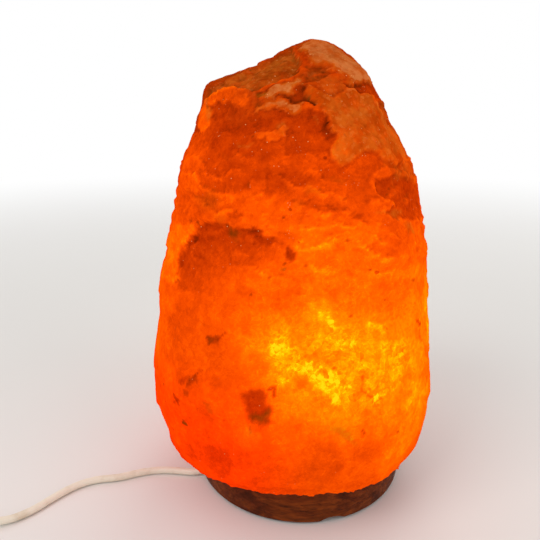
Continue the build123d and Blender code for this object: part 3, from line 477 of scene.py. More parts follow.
PATCHES = [
    # the slab behind the left shoulder, and the bright edge of the mass in front of it
    patch((201, 103), (203, 84), (215, 72), (240, 60), (290, 44), (300, 60), (296, 74), (262, 84),
        (252, 90), (241, 86), (233, 83), (226, 83), (219, 88), (213, 92), (207, 97), depth=3.2, edge=3,
        glow=-0.08, frost=0.6, ragged=0.6, painted_lip=-0.1),
    patch((200, 110), (207, 97), (215, 92), (221, 86), (228, 83), (236, 84), (246, 90), (248, 97),
        (246, 103), (238, 103), (219, 103), (214, 106), (211, 122), (204, 132), (196, 132), glow=0.17,
        edge=5, ragged=1.3, painted_lip=0.08),
    patch((213, 106), (223, 104), (246, 111), (274, 117), (283, 121), (277, 127), (253, 134), (242, 146),
        (234, 146), (228, 138), (222, 129), (213, 117), depth=1.2, edge=8, glow=-0.02, ragged=1.6),
    patch((250, 87), (263, 84), (280, 83), (276, 88), (266, 93), (258, 95), depth=1.2, glow=-0.12),
    patch((258, 97), (270, 91), (282, 86), (302, 79), (303, 85), (293, 88), (284, 95), (274, 99),
        (258, 102), depth=-0.8, glow=0.02, frost=0.95, ragged=1.3, painted_lip=0.12),
    patch((257, 110), (258, 105), (266, 101), (288, 99), (302, 101), (302, 111), (291, 114), (284, 111),
        (272, 106), depth=-0.6, glow=0.14, frost=0.86, ragged=1.2, painted_lip=0.12),
    patch((283, 98), (292, 91), (304, 88), (310, 98), (316, 105), (304, 103), depth=1.8, glow=-0.14),
    patch((300, 88), (308, 86), (314, 98), (324, 108), (316, 108), (302, 98), glow=-0.08),
    patch((246, 88), (262, 92), (266, 100), (256, 106), (248, 102), glow=-0.04, frost=0.15, edge=5),
    patch((255, 135), (267, 134), (277, 130), (283, 125), (287, 128), (287, 135), (270, 139), (256, 139),
        depth=-0.8, glow=0.14, frost=0.2, ragged=1.4, painted_lip=0.08),
    patch((277, 124), (284, 122), (288, 130), (283, 135), (279, 131), glow=0.02, frost=0.6),
    patch((302, 106), (306, 103), (314, 106), (324, 112), (318, 113), (303, 111), depth=-0.5, edge=3.5,
        glow=0.16, ragged=1.3),
    patch((283, 115), (299, 113), (324, 114), (328, 121), (334, 140), (328, 154), (303, 153), (281, 157),
        (287, 140), depth=1.6, edge=6, glow=-0.02, ragged=1.5),
    patch((322, 124), (330, 121), (334, 134), (328, 140), (322, 134), depth=0.6, glow=-0.12),
    patch((302, 108), (318, 112), (329, 121), (333, 137), (322, 136), (311, 126), glow=-0.08, edge=5),
    # the pale cap, the dark bands under it and the frosted face at the upper right
    patch((299, 45), (309, 34), (338, 36), (352, 50), (372, 66), (376, 80), (366, 81), (359, 81),
        (353, 85), (347, 81), (341, 75), (335, 70), (327, 66), (312, 62), (310, 55), depth=-0.8, edge=5.5,
        frost=0.92, ragged=1.4, painted_lip=0.05),
    patch((303, 62), (322, 64), (332, 71), (325, 76), (306, 82), depth=1.4, glow=-0.14, frost=0.25),
    patch((345, 85), (354, 86), (363, 81), (374, 79), (386, 100), (383, 101), (374, 97), (361, 92),
        (349, 89), depth=1.6, edge=2.5, glow=-0.06, painted_lip=-0.08),
    patch((310, 76), (341, 78), (348, 92), (333, 100), (312, 98), frost=0.38, glow=0.02, edge=8),
    patch((307, 84), (307, 92), (312, 99), (320, 106), (325, 113), (329, 121), (332, 130), (337, 134),
        (335, 141), (329, 152), (333, 160), (342, 164), (353, 160), (363, 152), (385, 160), (396, 165),
        (412, 160), (396, 128), (380, 106), (370, 97), (349, 90), (334, 99), (318, 92), depth=-1.4,
        glow=0.06, frost=0.72, ragged=0.9, painted_lip=0.1),
    patch((381, 101), (387, 104), (394, 113), (397, 128), (391, 127), (386, 116), depth=-1.3, edge=3,
        frost=0.5, glow=-0.1),
    patch((383, 160), (412, 156), (416, 180), (396, 180), glow=0.02, frost=0.45, edge=9),
    # the wide hollow face on the left, with the bright strip beside it
    patch((177, 274), (178, 258), (183, 253), (186, 244), (191, 240), (195, 231), (201, 222), (215, 222),
        (230, 227), (246, 230), (262, 233), (276, 240), (290, 252), (282, 275), (250, 292), (200, 296),
        (178, 290), depth=2.4, edge=7, glow=-0.215, ragged=0.8, fade=((198, 238), (234, 306)), painted_lip=-0.03),
    patch((171, 222), (192, 222), (196, 230), (190, 240), (184, 246), (177, 258), (175, 282), (165, 282),
        (158, 262), (164, 240), glow=0.17, edge=5),
    patch((228, 215), (236, 213), (245, 217), (240, 222), (229, 221), depth=0.9, glow=-0.15),
    patch((226, 226), (234, 226), (240, 233), (236, 240), (228, 234), glow=-0.12, stain=0.5, edge=6),
    patch((246, 230), (254, 230), (264, 236), (276, 241), (268, 246), (250, 238), depth=0.8, glow=-0.14),
    patch((286, 250), (293, 249), (297, 256), (291, 261), (286, 258), depth=1.2, glow=-0.3, edge=3.5),
    # the darker, redder faces at the right
    patch((376, 180), (377, 189), (384, 198), (397, 206), (387, 213), (393, 217), (412, 221), (424, 216),
        (420, 184), (398, 172), depth=1.2, edge=3, glow=-0.12, painted_lip=-0.04),
    patch((391, 214), (398, 210), (405, 213), (399, 218), glow=0.1, frost=0.7),
    patch((404, 224), (413, 225), (414, 233), (406, 233), frost=0.6, glow=0.05),
    patch((230, 176), (268, 170), (300, 168), (352, 168), (372, 178), (368, 190), (330, 184), (290, 188),
        (250, 182), glow=-0.05, edge=12),
    # olive and brown inclusions
    patch((198, 196), (212, 190), (222, 200), (214, 213), (202, 208), stain=0.35, edge=12),
    patch((212, 216), (222, 213), (228, 219), (218, 224), stain=0.4, edge=6),
    patch((306, 188), (318, 188), (320, 194), (308, 195), stain=0.4, edge=5),
    patch((332, 178), (344, 179), (346, 184), (334, 184), stain=0.35, edge=5),
    patch((290, 198), (304, 200), (306, 206), (292, 205), stain=0.3, edge=5),
    patch((207, 336), (216, 336), (215, 343), (208, 345), glow=-0.32, edge=2.5, stain=0.3),
    patch((188, 376), (198, 374), (196, 384), (189, 387), glow=-0.24, edge=3, stain=0.2),
    patch((180, 378), (186, 376), (185, 382), (180, 382), glow=-0.2, edge=3),
    patch((184, 390), (191, 390), (190, 396), (184, 396), glow=-0.18, edge=3, stain=0.2),
    patch((201, 402), (208, 402), (213, 413), (207, 413), stain=0.35, glow=-0.06),
    patch((242, 394), (249, 389), (260, 389), (265, 397), (263, 405), (268, 411), (267, 423), (260, 427),
        (252, 423), (247, 412), (243, 402), depth=0.6, glow=-0.3, edge=10),
    patch((252, 416), (261, 414), (268, 418), (264, 427), (252, 425), glow=-0.12, stain=0.6, edge=6,
        ragged=1.4),
    patch((206, 446), (222, 446), (232, 452), (234, 468), (222, 477), (208, 466), glow=-0.12, edge=8),
    patch((240, 430), (252, 427), (262, 436), (256, 446), (244, 452), (238, 444), glow=0.06, stain=0.3,
        edge=7),
    patch((328, 424), (340, 428), (352, 434), (358, 446), (348, 440), (336, 436), stain=0.45, edge=5),
    patch((166, 315), (196, 310), (226, 318), (222, 372), (232, 440), (196, 462), (168, 420), (156, 380),
        (156, 340), glow=-0.035, edge=18),
    # the outline's bumps, steps and notches
    patch((232, 54), (264, 50), (272, 58), (244, 66), depth=2, edge=6),
    patch((222, 66), (244, 62), (250, 70), (226, 80), depth=-2.4, edge=6),
    patch((278, 42), (294, 38), (293, 54), (280, 56), depth=-0.8),
    patch((296, 40), (304, 38), (303, 52), (296, 54), depth=0.8, edge=3),
    patch((186, 126), (200, 127), (200, 133), (186, 133), depth=1.1, edge=2.5, ragged=0.4),
    patch((176, 155), (196, 156), (188, 204), (166, 204), depth=-0.9, edge=3, ragged=0.5),
    patch((160, 231), (177, 232), (174, 246), (160, 246), depth=-1.3, edge=2, ragged=0.4),
    patch(*box(158, 246, 174, 250), depth=1.2, edge=2, ragged=0.4),
    patch((150, 259), (172, 259), (168, 292), (150, 292), depth=-1, edge=3, ragged=0.5),
    patch(*box(420, 240, 436, 256), depth=-1.2, edge=3, ragged=0.5),
    patch(*box(424, 320, 436, 325), depth=0.8, edge=2, ragged=0.4),
    patch(*box(424, 352, 438, 357), depth=0.8, edge=2, ragged=0.4),
    patch(*box(420, 396, 434, 401), depth=0.8, edge=2, ragged=0.4),
    # the thin rims, the brighter band over the bulb and the bulb's own glow
    patch((196, 130), (205, 103), (212, 112), (204, 160), (196, 215), (176, 222), (170, 222), (176, 170),
        glow=0.1, edge=9),
    patch((157, 280), (172, 280), (170, 330), (176, 400), (186, 445), (176, 445), (156, 410), (150, 350),
        glow=0.09, edge=12),
    patch((410, 380), (432, 380), (420, 430), (396, 470), (376, 484), (380, 462), (404, 424), glow=0.1,
        edge=12),
    patch((292, 222), (330, 216), (356, 222), (372, 232), (382, 268), (372, 286), (340, 300), (306, 268),
        glow=0.04, edge=14),
    patch((184, 152), (206, 148), (218, 168), (206, 190), (184, 192), glow=0.09, edge=16),
    patch((216, 196), (262, 192), (300, 206), (300, 236), (266, 232), (240, 222), (214, 214), glow=0.08,
        edge=10),
    patch((326, 286), (420, 280), (424, 336), (364, 340), (330, 312), glow=-0.07, edge=14),
    patch((196, 292), (300, 286), (306, 312), (240, 316), (196, 308), glow=-0.07, edge=12),
    patch((208, 340), (240, 340), (242, 384), (212, 390), glow=-0.07, edge=12),
    patch((382, 168), (404, 160), (414, 190), (418, 212), (400, 206), (386, 190), glow=-0.08, edge=8),
    patch((264, 330), (286, 328), (300, 340), (302, 358), (314, 366), (306, 372), (290, 384), (274, 390),
        (266, 384), (272, 366), (258, 352), glow=0.05, edge=12, ragged=2.4),
    patch((276, 344), (288, 344), (286, 352), (274, 349), glow=0.09, edge=3, ragged=1.6),
    patch((274, 374), (284, 378), (282, 388), (274, 386), glow=0.1, edge=3, ragged=1.6),
    patch((314, 384), (322, 374), (334, 374), (340, 382), (338, 392), (332, 396), (320, 388), glow=0.1,
        edge=7, ragged=2.8),
    patch((341, 386), (347, 384), (352, 390), (345, 392), glow=0.12, edge=3, ragged=1.6),
    patch((336, 350), (344, 338), (352, 328), (350, 340), (344, 350), glow=0.16, edge=5, ragged=2),
    patch((306, 356), (318, 358), (322, 368), (310, 368), glow=0.11, edge=5, ragged=2.4),
    patch((308, 308), (318, 306), (330, 314), (338, 320), (330, 322), (316, 316), glow=0.12, edge=5,
        ragged=2.4),
    patch((368, 320), (378, 318), (382, 330), (372, 336), glow=0.08, edge=5, ragged=2.4),
    patch((380, 356), (388, 352), (388, 366), (382, 368), glow=0.1, ragged=1.6),
    patch((372, 398), (380, 392), (386, 396), (378, 406), glow=0.12, ragged=1.6),
    patch((290, 377), (300, 376), (313, 380), (308, 388), (294, 386), glow=-0.08, edge=7, ragged=1.8),
    patch((272, 320), (300, 312), (310, 330), (300, 338), (288, 326), glow=-0.06, edge=8),
    patch((228, 440), (290, 420), (330, 440), (350, 470), (310, 488), (250, 488), glow=-0.07, edge=22),
]

STREAKS = [
    streak((201, 104), (207, 97), (215, 92), (221, 86), (228, 83), (238, 85), (250, 89), width=1.6,
        glow=0.12),
    streak((209, 99), (211, 108), (209, 120), width=2, frost=0.7),
    streak((258, 90), (266, 86), (277, 82), (300, 79), width=2, glow=0.16),
    streak((257, 96), (263, 95), (267, 93), width=1.2, depth=0.8, stain=1, glow=-0.2),
    streak((276, 81), (284, 76), (292, 72), width=2, frost=0.5),
    streak((286, 68), (294, 62), (299, 58), width=1.6, frost=0.6),
    streak((250, 80), (258, 77), (268, 79), width=2.2, frost=0.5),
    streak((299, 80), (304, 84), width=1.6, frost=1),
    streak((312, 73), (321, 71), (334, 70), width=1.3, glow=0.14),
    streak((307, 93), (312, 100), (320, 107), (326, 114), (330, 122), (333, 131), width=1.4, frost=0.5,
        glow=0.05),
    streak((309, 96), (314, 104), (318, 107), width=1.2, depth=0.7, glow=-0.2),
    streak((316, 117), (316, 124), width=1.6, frost=0.7),
    streak((345, 84), (353, 86), (363, 81), width=1.3, depth=0.8, glow=-0.1),
    streak((348, 90), (361, 93), (370, 97), (380, 104), width=1.4, glow=0.08),
    streak((334, 140), (330, 150), (333, 159), width=1.3, glow=0.06),
    streak((244, 187), (258, 178), (275, 176), (290, 176), (323, 177), (331, 179), width=2.6, depth=0.7,
        glow=-0.09),
    streak((246, 188), (256, 190), (266, 195), (275, 196), width=2.4, depth=0.6, glow=-0.1),
    streak((290, 199), (302, 204), (328, 204), (335, 209), (348, 214), (357, 217), (375, 227), width=2.6,
        depth=0.8, glow=-0.1),
    streak((371, 182), (377, 190), (384, 198), (397, 206), glow=0.08, depth=-0.5),
    streak((376, 214), (386, 212), (393, 217), glow=0.05, frost=0.4),
    streak((186, 244), (190, 244), (194, 238), width=1.8, depth=0.6, glow=-0.14),
    streak((178, 258), (178, 266), (176, 273), depth=0.5, glow=-0.08),
    streak((236, 142), (246, 148), (252, 144), frost=0.4, glow=0.05),
    streak((275, 158), (283, 157), (292, 155), width=1.3, glow=0.12),
    streak((216, 341), (221, 336), (226, 332), width=1.2, glow=-0.18),
    streak((196, 376), (200, 373), (203, 369), width=1.2, glow=-0.18),
    streak((175, 394), (177, 402), width=1.3, glow=-0.3),
    streak((182, 422), (185, 425), width=1.3, glow=-0.5, stain=0.8),
    streak((222, 418), (227, 422), width=1, glow=-0.2),
    streak((326, 360), (333, 366), (337, 372), width=1.4, glow=-0.22),
    streak((361, 376), (364, 390), (373, 402), width=1.3, glow=-0.16),
    streak((268, 390), (272, 388), (276, 397), width=1.6, glow=-0.3),
    streak((372, 322), (380, 316), (390, 330), width=1, glow=0.05),
    streak((415, 320), (420, 324), width=1.4, glow=-0.3),
    streak((418, 330), (424, 352), width=1.3, glow=-0.08),
    streak((249, 428), (253, 433), width=1.4, frost=0.8),
    streak((281, 267), (284, 271), width=1.3, frost=1),
    streak((364, 432), (362, 429), width=1.3, glow=-0.3),
    streak((164, 300), (168, 286), width=1.6, glow=-0.05),
]

# Dark specks, and the sizes that they take in turn.
SPECKS = [
    (197, 210), (207, 205), (212, 180), (250, 186), (283, 218), (242, 243), (285, 264), (336, 153),
    (224, 98), (231, 96), (209, 107), (190, 222), (252, 138), (335, 370), (370, 270), (351, 316),
    (414, 279), (398, 432), (361, 376), (369, 388), (268, 276), (251, 293), (213, 302), (162, 385),
    (172, 429), (176, 280), (348, 239), (327, 203), (345, 198), (236, 200), (197, 222), (401, 172),
    (386, 300), (306, 265), (330, 325), (261, 318),
]
SPECK_SIZES = [1.1, 1.7, 0.8, 1.3, 1.0]

# Bright glints.
SPARKLES = [
    (349, 146), (364, 88), (311, 57), (362, 143), (282, 92), (268, 96), (224, 100), (218, 134),
    (233, 141), (362, 157), (340, 69), (350, 79), (332, 96), (299, 128), (252, 153), (290, 240),
    (288, 233), (233, 206), (257, 131), (214, 83), (263, 80), (289, 205), (293, 212), (356, 185),
    (386, 222), (300, 148), (270, 75),
]

# ------------------------------------------------------------------ the salt rock: shape and paint


def blend_step(values, low, high):
    """0 below low, 1 above high, and a smooth rise between."""
    share = np.clip((values - low) / (high - low), 0.0, 1.0)
    return share * share * (3 - 2 * share)


def clouds(points, size, octaves, seed):
    """Fractal noise about 0, with features as large as size."""
    places = (points / size + seed).tolist()
    return np.array([noise.fractal(place, 0.9, 2.0, octaves) for place in places])


# Any numbers do here: they turn a cell's centre into four even chances.
MIXER = np.array([
    [12.99, 39.35, 73.16, 26.65],
    [78.23, 11.14, 52.24, 83.16],
    [45.16, 94.67, 27.17, 61.93],
])
MIXER_SCALE = 4375.85


def plates(points, size, seed):
    """Random cells, each a tilted plate at its own height: the broken faces of the grains.

    Gives how high each point lies on its plate, how far it is from the plate's edge, and a chance
    from 0 to 1 that is the same all over a plate."""
    places = points / size + seed
    found = [noise.voronoi(place) for place in places.tolist()]
    centres = np.array([spots[0] for _, spots in found])
    first, second = np.array([distances[:2] for distances, _ in found]).T
    chances = np.modf(np.abs(np.sin(centres @ MIXER)) * MIXER_SCALE)[0]
    tilt = np.sum((chances[:, 1:] - 0.5) * (places - centres), axis=1)
    return chances[:, 0] - 0.5 + 1.6 * tilt, second - first, chances[:, 1]


def segment_distance(places, start, end):
    along = end - start
    share = np.clip((places - start) @ along / (along @ along), 0.0, 1.0)
    return np.linalg.norm(places - start - share[:, None] * along, axis=1)


def depth_inside(places, outline):
    """How far each place is inside a closed outline, below 0 outside."""
    corners = np.array(outline, float)
    nearest = np.full(len(places), np.inf)
    inside = np.zeros(len(places), bool)
    for start, end in zip(corners, np.roll(corners, -1, axis=0)):
        nearest = np.minimum(nearest, segment_distance(places, start, end))
        rise = end[1] - start[1]
        if rise:
            crosses = (start[1] > places[:, 1]) != (end[1] > places[:, 1])
            at = start[0] + (places[:, 1] - start[1]) * (end[0] - start[0]) / rise
            inside ^= crosses & (places[:, 0] < at)
    return np.where(inside, nearest, -nearest)


def picture_places(points):
    """Where points, in millimetres, show in the photograph, and the direction from each to the camera."""
    turn = np.array(camera.rotation_euler.to_matrix())
    away = points - np.array(CAMERA_PLACE) / MM
    x, y, z = (away @ turn).T
    half = PICTURE_SIDE / 2
    shown = np.stack([half - PICTURE_SIDE * x / z, half + PICTURE_SIDE * y / z], axis=1)
    return shown, -away / np.linalg.norm(away, axis=1)[:, None]


class Rock:
    """The rock's surface, and the fields that its shape and its colours are made of.

    relief is how far a point moves outwards. glow, frost and stain are how bright, pale and dirty
    it is. shown is its place in the photograph, front is 1 where it faces the camera, and free is 0
    in the bore and underneath."""

    def __init__(self, node):
        self.mesh = self.even_mesh(node)
        self.points = self.read(self.mesh.vertices, "co", 3) / MM
        self.edges = self.read(self.mesh.edges, "vertices", 2, np.int32)
        self.degree = np.bincount(self.edges.ravel(), minlength=len(self.points)).astype(float)
        reach = np.hypot(self.points[:, 0], self.points[:, 1])
        in_bore = (reach < BORE_REACH + BORE_CLEAR) & (self.points[:, 2] < BORE_TOP + BORE_CLEAR)
        at_bottom = self.points[:, 2] < ROCK_BOTTOM + VOXEL
        self.free = np.where(in_bore | at_bottom, 0.0, 1.0)
        for _ in range(4):
            self.free = np.minimum(self.free, self.around(self.free))

    @staticmethod
    def even_mesh(node):
        """A copy of a CAD node's mesh with small, even faces."""
        copy = node.copy()
        copy.data = node.data.copy()
        scene.collection.objects.link(copy)
        remesh = copy.modifiers.new("even", "REMESH")
        remesh.mode = "VOXEL"
        remesh.voxel_size = VOXEL * MM
        ready = copy.evaluated_get(bpy.context.evaluated_depsgraph_get())
        mesh = bpy.data.meshes.new_from_object(ready)
        bpy.data.objects.remove(copy)
        mesh.materials.clear()
        return mesh

    @staticmethod
    def read(items, name, width, kind=float):
        values = np.empty(len(items) * width, kind)
        items.foreach_get(name, values)
        return values.reshape(-1, width)

    def write(self):
        self.mesh.vertices.foreach_set("co", (self.points * MM).ravel())
        self.mesh.update()

    def paint(self, name, values):
        layer = self.mesh.attributes.new(name, "FLOAT", "POINT")
        layer.data.foreach_set("value", values.astype(np.float32))

    def around(self, values):
        """The mean of each point's neighbours."""
        first, second = self.edges.T
        columns = []
        for column in values.reshape(len(values), -1).T:
            total = np.bincount(first, column[second], len(values))
            total += np.bincount(second, column[first], len(values))
            columns.append(total / self.degree)
        return np.stack(columns, 1).reshape(values.shape)

    def softened(self, values, rounds, share=0.5):
        """Values nearer to those of their neighbours, by a share in every round."""
        for _ in range(rounds):
            values = values + share * (self.around(values) - values)
        return values

    def swell(self):
        """Move the sides, as the camera sees them, so that both outlines follow the photograph."""
        shown, _ = picture_places(self.points)
        middle, _ = picture_places(self.points * (0, 0, 1))
        offset = np.zeros(len(self.points))
        for side, swell in ((1, RIGHT_SWELL), (-1, LEFT_SWELL)):
            rows, pixels = np.array(swell, float).T
            width = side * (shown[:, 0] - middle[:, 0]) / SWELL_FULL
            offset += side * np.interp(shown[:, 1], rows, pixels) * blend_step(width, 0.15, 1.0)
        pixel = np.linalg.norm(CAMERA_PLACE) / MM / PICTURE_SIDE
        sideways = np.array(camera.rotation_euler.to_matrix())[:, 0]
        self.points = self.points + (offset * self.free * pixel)[:, None] * sideways

    def start_fields(self):
        """Note how each point lies, before any relief, and start its fields."""
        self.write()
        self.normals = self.read(self.mesh.vertex_normals, "vector", 3)
        self.shown, to_camera = picture_places(self.points)
        self.front = blend_step(np.sum(self.normals * to_camera, axis=1), -0.12, 0.16) * self.free
        self.height = self.points[:, 2]
        self.broken = blend_step(self.height, *BROKEN_HEIGHT)
        away = [np.linalg.norm(self.points - spot, axis=1) for spot in GLOW_CENTRES]
        self.from_glow = np.min(away, axis=0)
        self.bend = np.stack([clouds(self.points, 18.0, 3, seed) for seed in (51.0, 53.0, 57.0)], axis=1)
        self.relief, self.glow, self.frost, self.stain, self.sparkle = np.zeros((5, len(self.points)))

    def change(self, item, share):
        """Change the fields by each point's share of a patch or a streak."""
        self.relief -= item["depth"] * share
        self.glow += item["glow"] * share
        if item["frost"]:
            self.frost += (item["frost"] - self.frost) * share
        if item["stain"]:
            self.stain += (item["stain"] - self.stain) * share


def rough_skin(rock):
    """Broad swells, broken faces of three sizes, fine unevenness and cracks, rougher higher up.

    The large faces differ a little in tone, and the seams between faces are darker."""
    points = rock.points
    coarse, coarse_edge, chance = plates(points + 4.0 * rock.bend, 15.0, 3.1)
    medium, medium_edge, _ = plates(points, 6.5, 7.7)
    grains, _, _ = plates(points, 3.0, 11.3)
    seam = 1.0 - blend_step(np.minimum(coarse_edge, 1.6 * medium_edge), 0.0, 0.09)
    rock.glow += 0.02 * (chance - 0.5) - 0.02 * seam * rock.broken
    rock.relief += 0.9 * clouds(points, 24.0, 3, 2.0)
    for layer, low_down, more_above in (
        (coarse, 0.30, 0.45),
        (medium, 0.14, 0.24),
        (grains, 0.06, 0.12),
        (clouds(points, 5.0, 4, 5.0), 0.10, 0.22),
    ):
        rock.relief += (low_down + more_above * rock.broken) * layer
    crack = blend_step(0.04 - np.abs(clouds(points, 17.0, 3, 9.0)), 0.0, 0.04)
    crack *= blend_step(clouds(points, 30.0, 2, 4.0), 0.1, 0.4)
    rock.relief -= 0.45 * crack * rock.broken


def inner_glow(rock):
    """The light of the bulb: brightest where the wall is thin, in uneven clouds."""
    rock.glow += np.interp(rock.from_glow, GLOW_REACH, GLOW_LEVEL)
    rock.glow += 0.05 * clouds(rock.points, 32.0, 2, 1.0) + 0.035 * clouds(rock.points, 12.0, 3, 6.0)
    rock.glow += 0.06 * clouds(rock.points, 7.0, 4, 61.0) * rock.broken


def ledges(rock):
    """Steps in the middle of its height, where the salt broke along its layers, with painted highlight on
    each step's lip and painted shade on its fall.
    """
    points = rock.points
    wander = 6.0 * clouds(points, 28.0, 3, 31.0) + 2.6 * clouds(points, 7.0, 4, 33.0)
    phase = np.mod((rock.height + LEDGE_DIP * points[:, 0] + wander) / LEDGE_RISE, 1.0)
    share = blend_step(rock.height, *LEDGES_START) * (1.0 - blend_step(rock.height, *LEDGES_END))
    share *= blend_step(clouds(points, 20.0, 2, 35.0), -0.25, 0.25)
    step_out = blend_step(phase, 0.0, 0.7) - blend_step(phase, 0.82, 1.0)
    painted_lip = blend_step(phase, 0.55, 0.78) - blend_step(phase, 0.80, 0.92)
    rock.relief += 1.1 * step_out * share
    # painted highlight on each ledge's lip and painted shade on its fall
    rock.glow += (0.10 * painted_lip - 0.07 * blend_step(phase, 0.86, 1.0)) * share
    # browner in patches on each ledge's fall
    browner_in_patches = blend_step(clouds(points, 15.0, 2, 37.0), 0.0, 0.4)
    rock.stain += 0.30 * blend_step(phase, 0.84, 1.0) * share * browner_in_patches


def back_faces(rock):
    """The back's bigger faces: each is its own tone, and some high ones are frosted."""
    points = rock.points
    behind = 1.0 - rock.front
    face, edge, chance = plates(points + 9.0 * rock.bend, 38.0, 5.9)
    crease = blend_step(0.07 - edge, 0.0, 0.07) * blend_step(clouds(points, 20.0, 2, 39.0), -0.1, 0.3)
    rock.relief += 1.5 * face * behind
    rock.glow += (0.07 * (chance - 0.5) - 0.06 * crease + 0.07 * clouds(points, 16.0, 3, 45.0)) * behind
    frost = 0.10 * blend_step(rock.from_glow, 110.0, 150.0)
    frost += 0.30 * blend_step(clouds(points, 26.0, 3, 8.0), 0.15, 0.5)
    frost += 0.75 * blend_step(chance, 0.55, 0.62) * blend_step(rock.height, 150.0, 185.0)
    frost *= 0.25 + 0.75 * blend_step(rock.from_glow, 90.0, 130.0)
    rock.frost += frost * (1.0 - 0.9 * rock.front)
    rock.stain += 0.5 * blend_step(clouds(points, 22.0, 3, 13.0), 0.34, 0.56) * behind


def add_patches(rock, drift):
    for item in PATCHES:
        inside = depth_inside(rock.shown + PATCH_DRIFT * item["ragged"] * drift, item["outline"])
        there = rock.front
        if item["fade"]:
            start, end = np.array(item["fade"], float)
            along = end - start
            there = there * (1.0 - blend_step((rock.shown - start) @ along / (along @ along), 0.0, 1.0))
        rock.change(item, blend_step(inside, -0.5 * item["edge"], 0.5 * item["edge"]) * there)
        # painted highlight just inside the patch's edge and painted shade just outside it
        painted_lip = np.exp(-np.square(inside - LIP_INSIDE)) - np.exp(-np.square(inside + LIP_OUTSIDE))
        rock.glow += item["painted_lip"] * painted_lip * there


def add_streaks(rock, drift):
    places = rock.shown + STREAK_DRIFT * drift
    dapple = blend_step(clouds(rock.points, 6.0, 2, 23.0), -0.35, 0.25)
    for item in STREAKS:
        line = np.array(item["line"], float)
        nearest = np.min([segment_distance(places, *ends) for ends in zip(line, line[1:])], axis=0)
        share = (1.0 - blend_step(nearest, 0.3 * item["width"], 1.3 * item["width"])) * rock.front
        rock.change(item, share * dapple if item["width"] > WIDE_STREAK else share)


def add_specks(rock, drift):
    for size, place in zip(np.resize(SPECK_SIZES, len(SPECKS)), SPECKS):
        away = np.linalg.norm(rock.shown + SPECK_DRIFT * drift - place, axis=1)
        spot = (1.0 - blend_step(away, 0.5 * size, 1.4 * size)) * rock.front
        rock.relief -= 0.4 * spot
        rock.glow -= 0.20 * spot
        rock.stain = np.maximum(rock.stain, 0.35 * spot)
    for place in SPARKLES:
        away = np.linalg.norm(rock.shown - place, axis=1)
        rock.sparkle = np.maximum(rock.sparkle, (1.0 - blend_step(away, 0.8, 3.0)) * rock.front)


def photographed_features(rock):
    """The photograph's own features, their edges ragged at the size of the grains."""
    drift = np.stack([clouds(rock.points, 9.0, 3, seed) for seed in (15.0, 17.0)], axis=1)
    drift += 0.45 * np.stack([clouds(rock.points, 3.2, 2, seed) for seed in (19.0, 21.0)], axis=1)
    add_patches(rock, drift)
    add_streaks(rock, drift)
    add_specks(rock, drift)


def raise_relief(rock):
    """Move the points out by their relief, and break the rim of the flat underside sideways."""
    before = rock.points
    reach = np.hypot(before[:, 0], before[:, 1])
    rim = blend_step(reach, *RIM_REACH) * (1.0 - blend_step(rock.height - ROCK_BOTTOM, *RIM_HEIGHT))
    ragged = 1.8 * clouds(before, 3.0, 3, 41.0) + 0.9 * clouds(before, 11.0, 2, 43.0)
    outwards = before * (1, 1, 0) / reach[:, None]
    rock.points = before + rock.normals * (rock.relief * rock.free)[:, None]
    rock.points += outwards * (ragged * rim)[:, None]
    lowest = np.where(rock.free > 0, ROCK_BOTTOM + 0.2, -np.inf)
    rock.points[:, 2] = np.maximum(rock.points[:, 2], lowest)
    rock.points = rock.softened(rock.points, 1, 0.3 * rock.free[:, None])
    rock.write()


def paint_fields(rock):
    """Write the fields to the mesh, with what the relief does to them: painted highlight on raised parts,
    painted shade in hollows.
    """
    fine = rock.relief - rock.softened(rock.relief, 4)
    wide = rock.relief - rock.softened(rock.relief, 48)
    lift = 0.5 * np.clip(fine / 0.4, -1, 1) + 0.5 * np.clip(wide / 2.4, -1, 1)
    # painted highlight on raised parts and painted shade in hollows, by the lift
    rock.paint("glow", rock.glow + 0.04 * lift)
    rock.paint("frost", np.clip(rock.frost + 0.1 * np.clip(lift, 0, 1), 0, 1))
    rock.paint("stain", np.clip(rock.stain, 0, 1))
    rock.paint("lift", lift)
    rock.paint("sparkle", rock.sparkle)


def salt_rock():
    """The CAD rock, evened out, broken into grains and ledges, and painted for its material."""
    rock = Rock(nodes["salt_crystal"])
    rock.points = rock.softened(rock.points, 18, 0.5 * rock.free[:, None])
    rock.swell()
    rock.start_fields()
    rough_skin(rock)
    inner_glow(rock)
    ledges(rock)
    back_faces(rock)
    photographed_features(rock)
    raise_relief(rock)
    paint_fields(rock)
    rock.mesh.shade_smooth()
    rock.mesh.materials.append(salt_material())
    piece = placed("salt_rock", rock.mesh)
    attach(piece, "root")
    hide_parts("salt_crystal")


# ------------------------------------------------------------------ the salt's material

SALT_EMISSION = 0.76
SALT_BODY = 0.34                    # how bright its own colour is under lamps, by that of its glow
GLOW_TONES = [
    (0.00, rgb(84, 20, 1)),
    (0.15, rgb(142, 36, 1)),
    (0.30, rgb(186, 48, 1)),
    (0.45, rgb(214, 62, 1)),
    (0.56, rgb(240, 74, 1)),
    (0.64, rgb(255, 86, 1)),
    (0.73, rgb(255, 106, 1)),
    (0.82, rgb(255, 134, 1)),
    (0.89, rgb(255, 162, 1)),
    (0.95, rgb(255, 190, 2)),
    (1.00, rgb(255, 214, 14)),
]
CHALK = (rgb(164, 64, 5), rgb(206, 100, 22))
BLOOM = (rgb(186, 84, 24), rgb(216, 126, 60))       # the palest faces
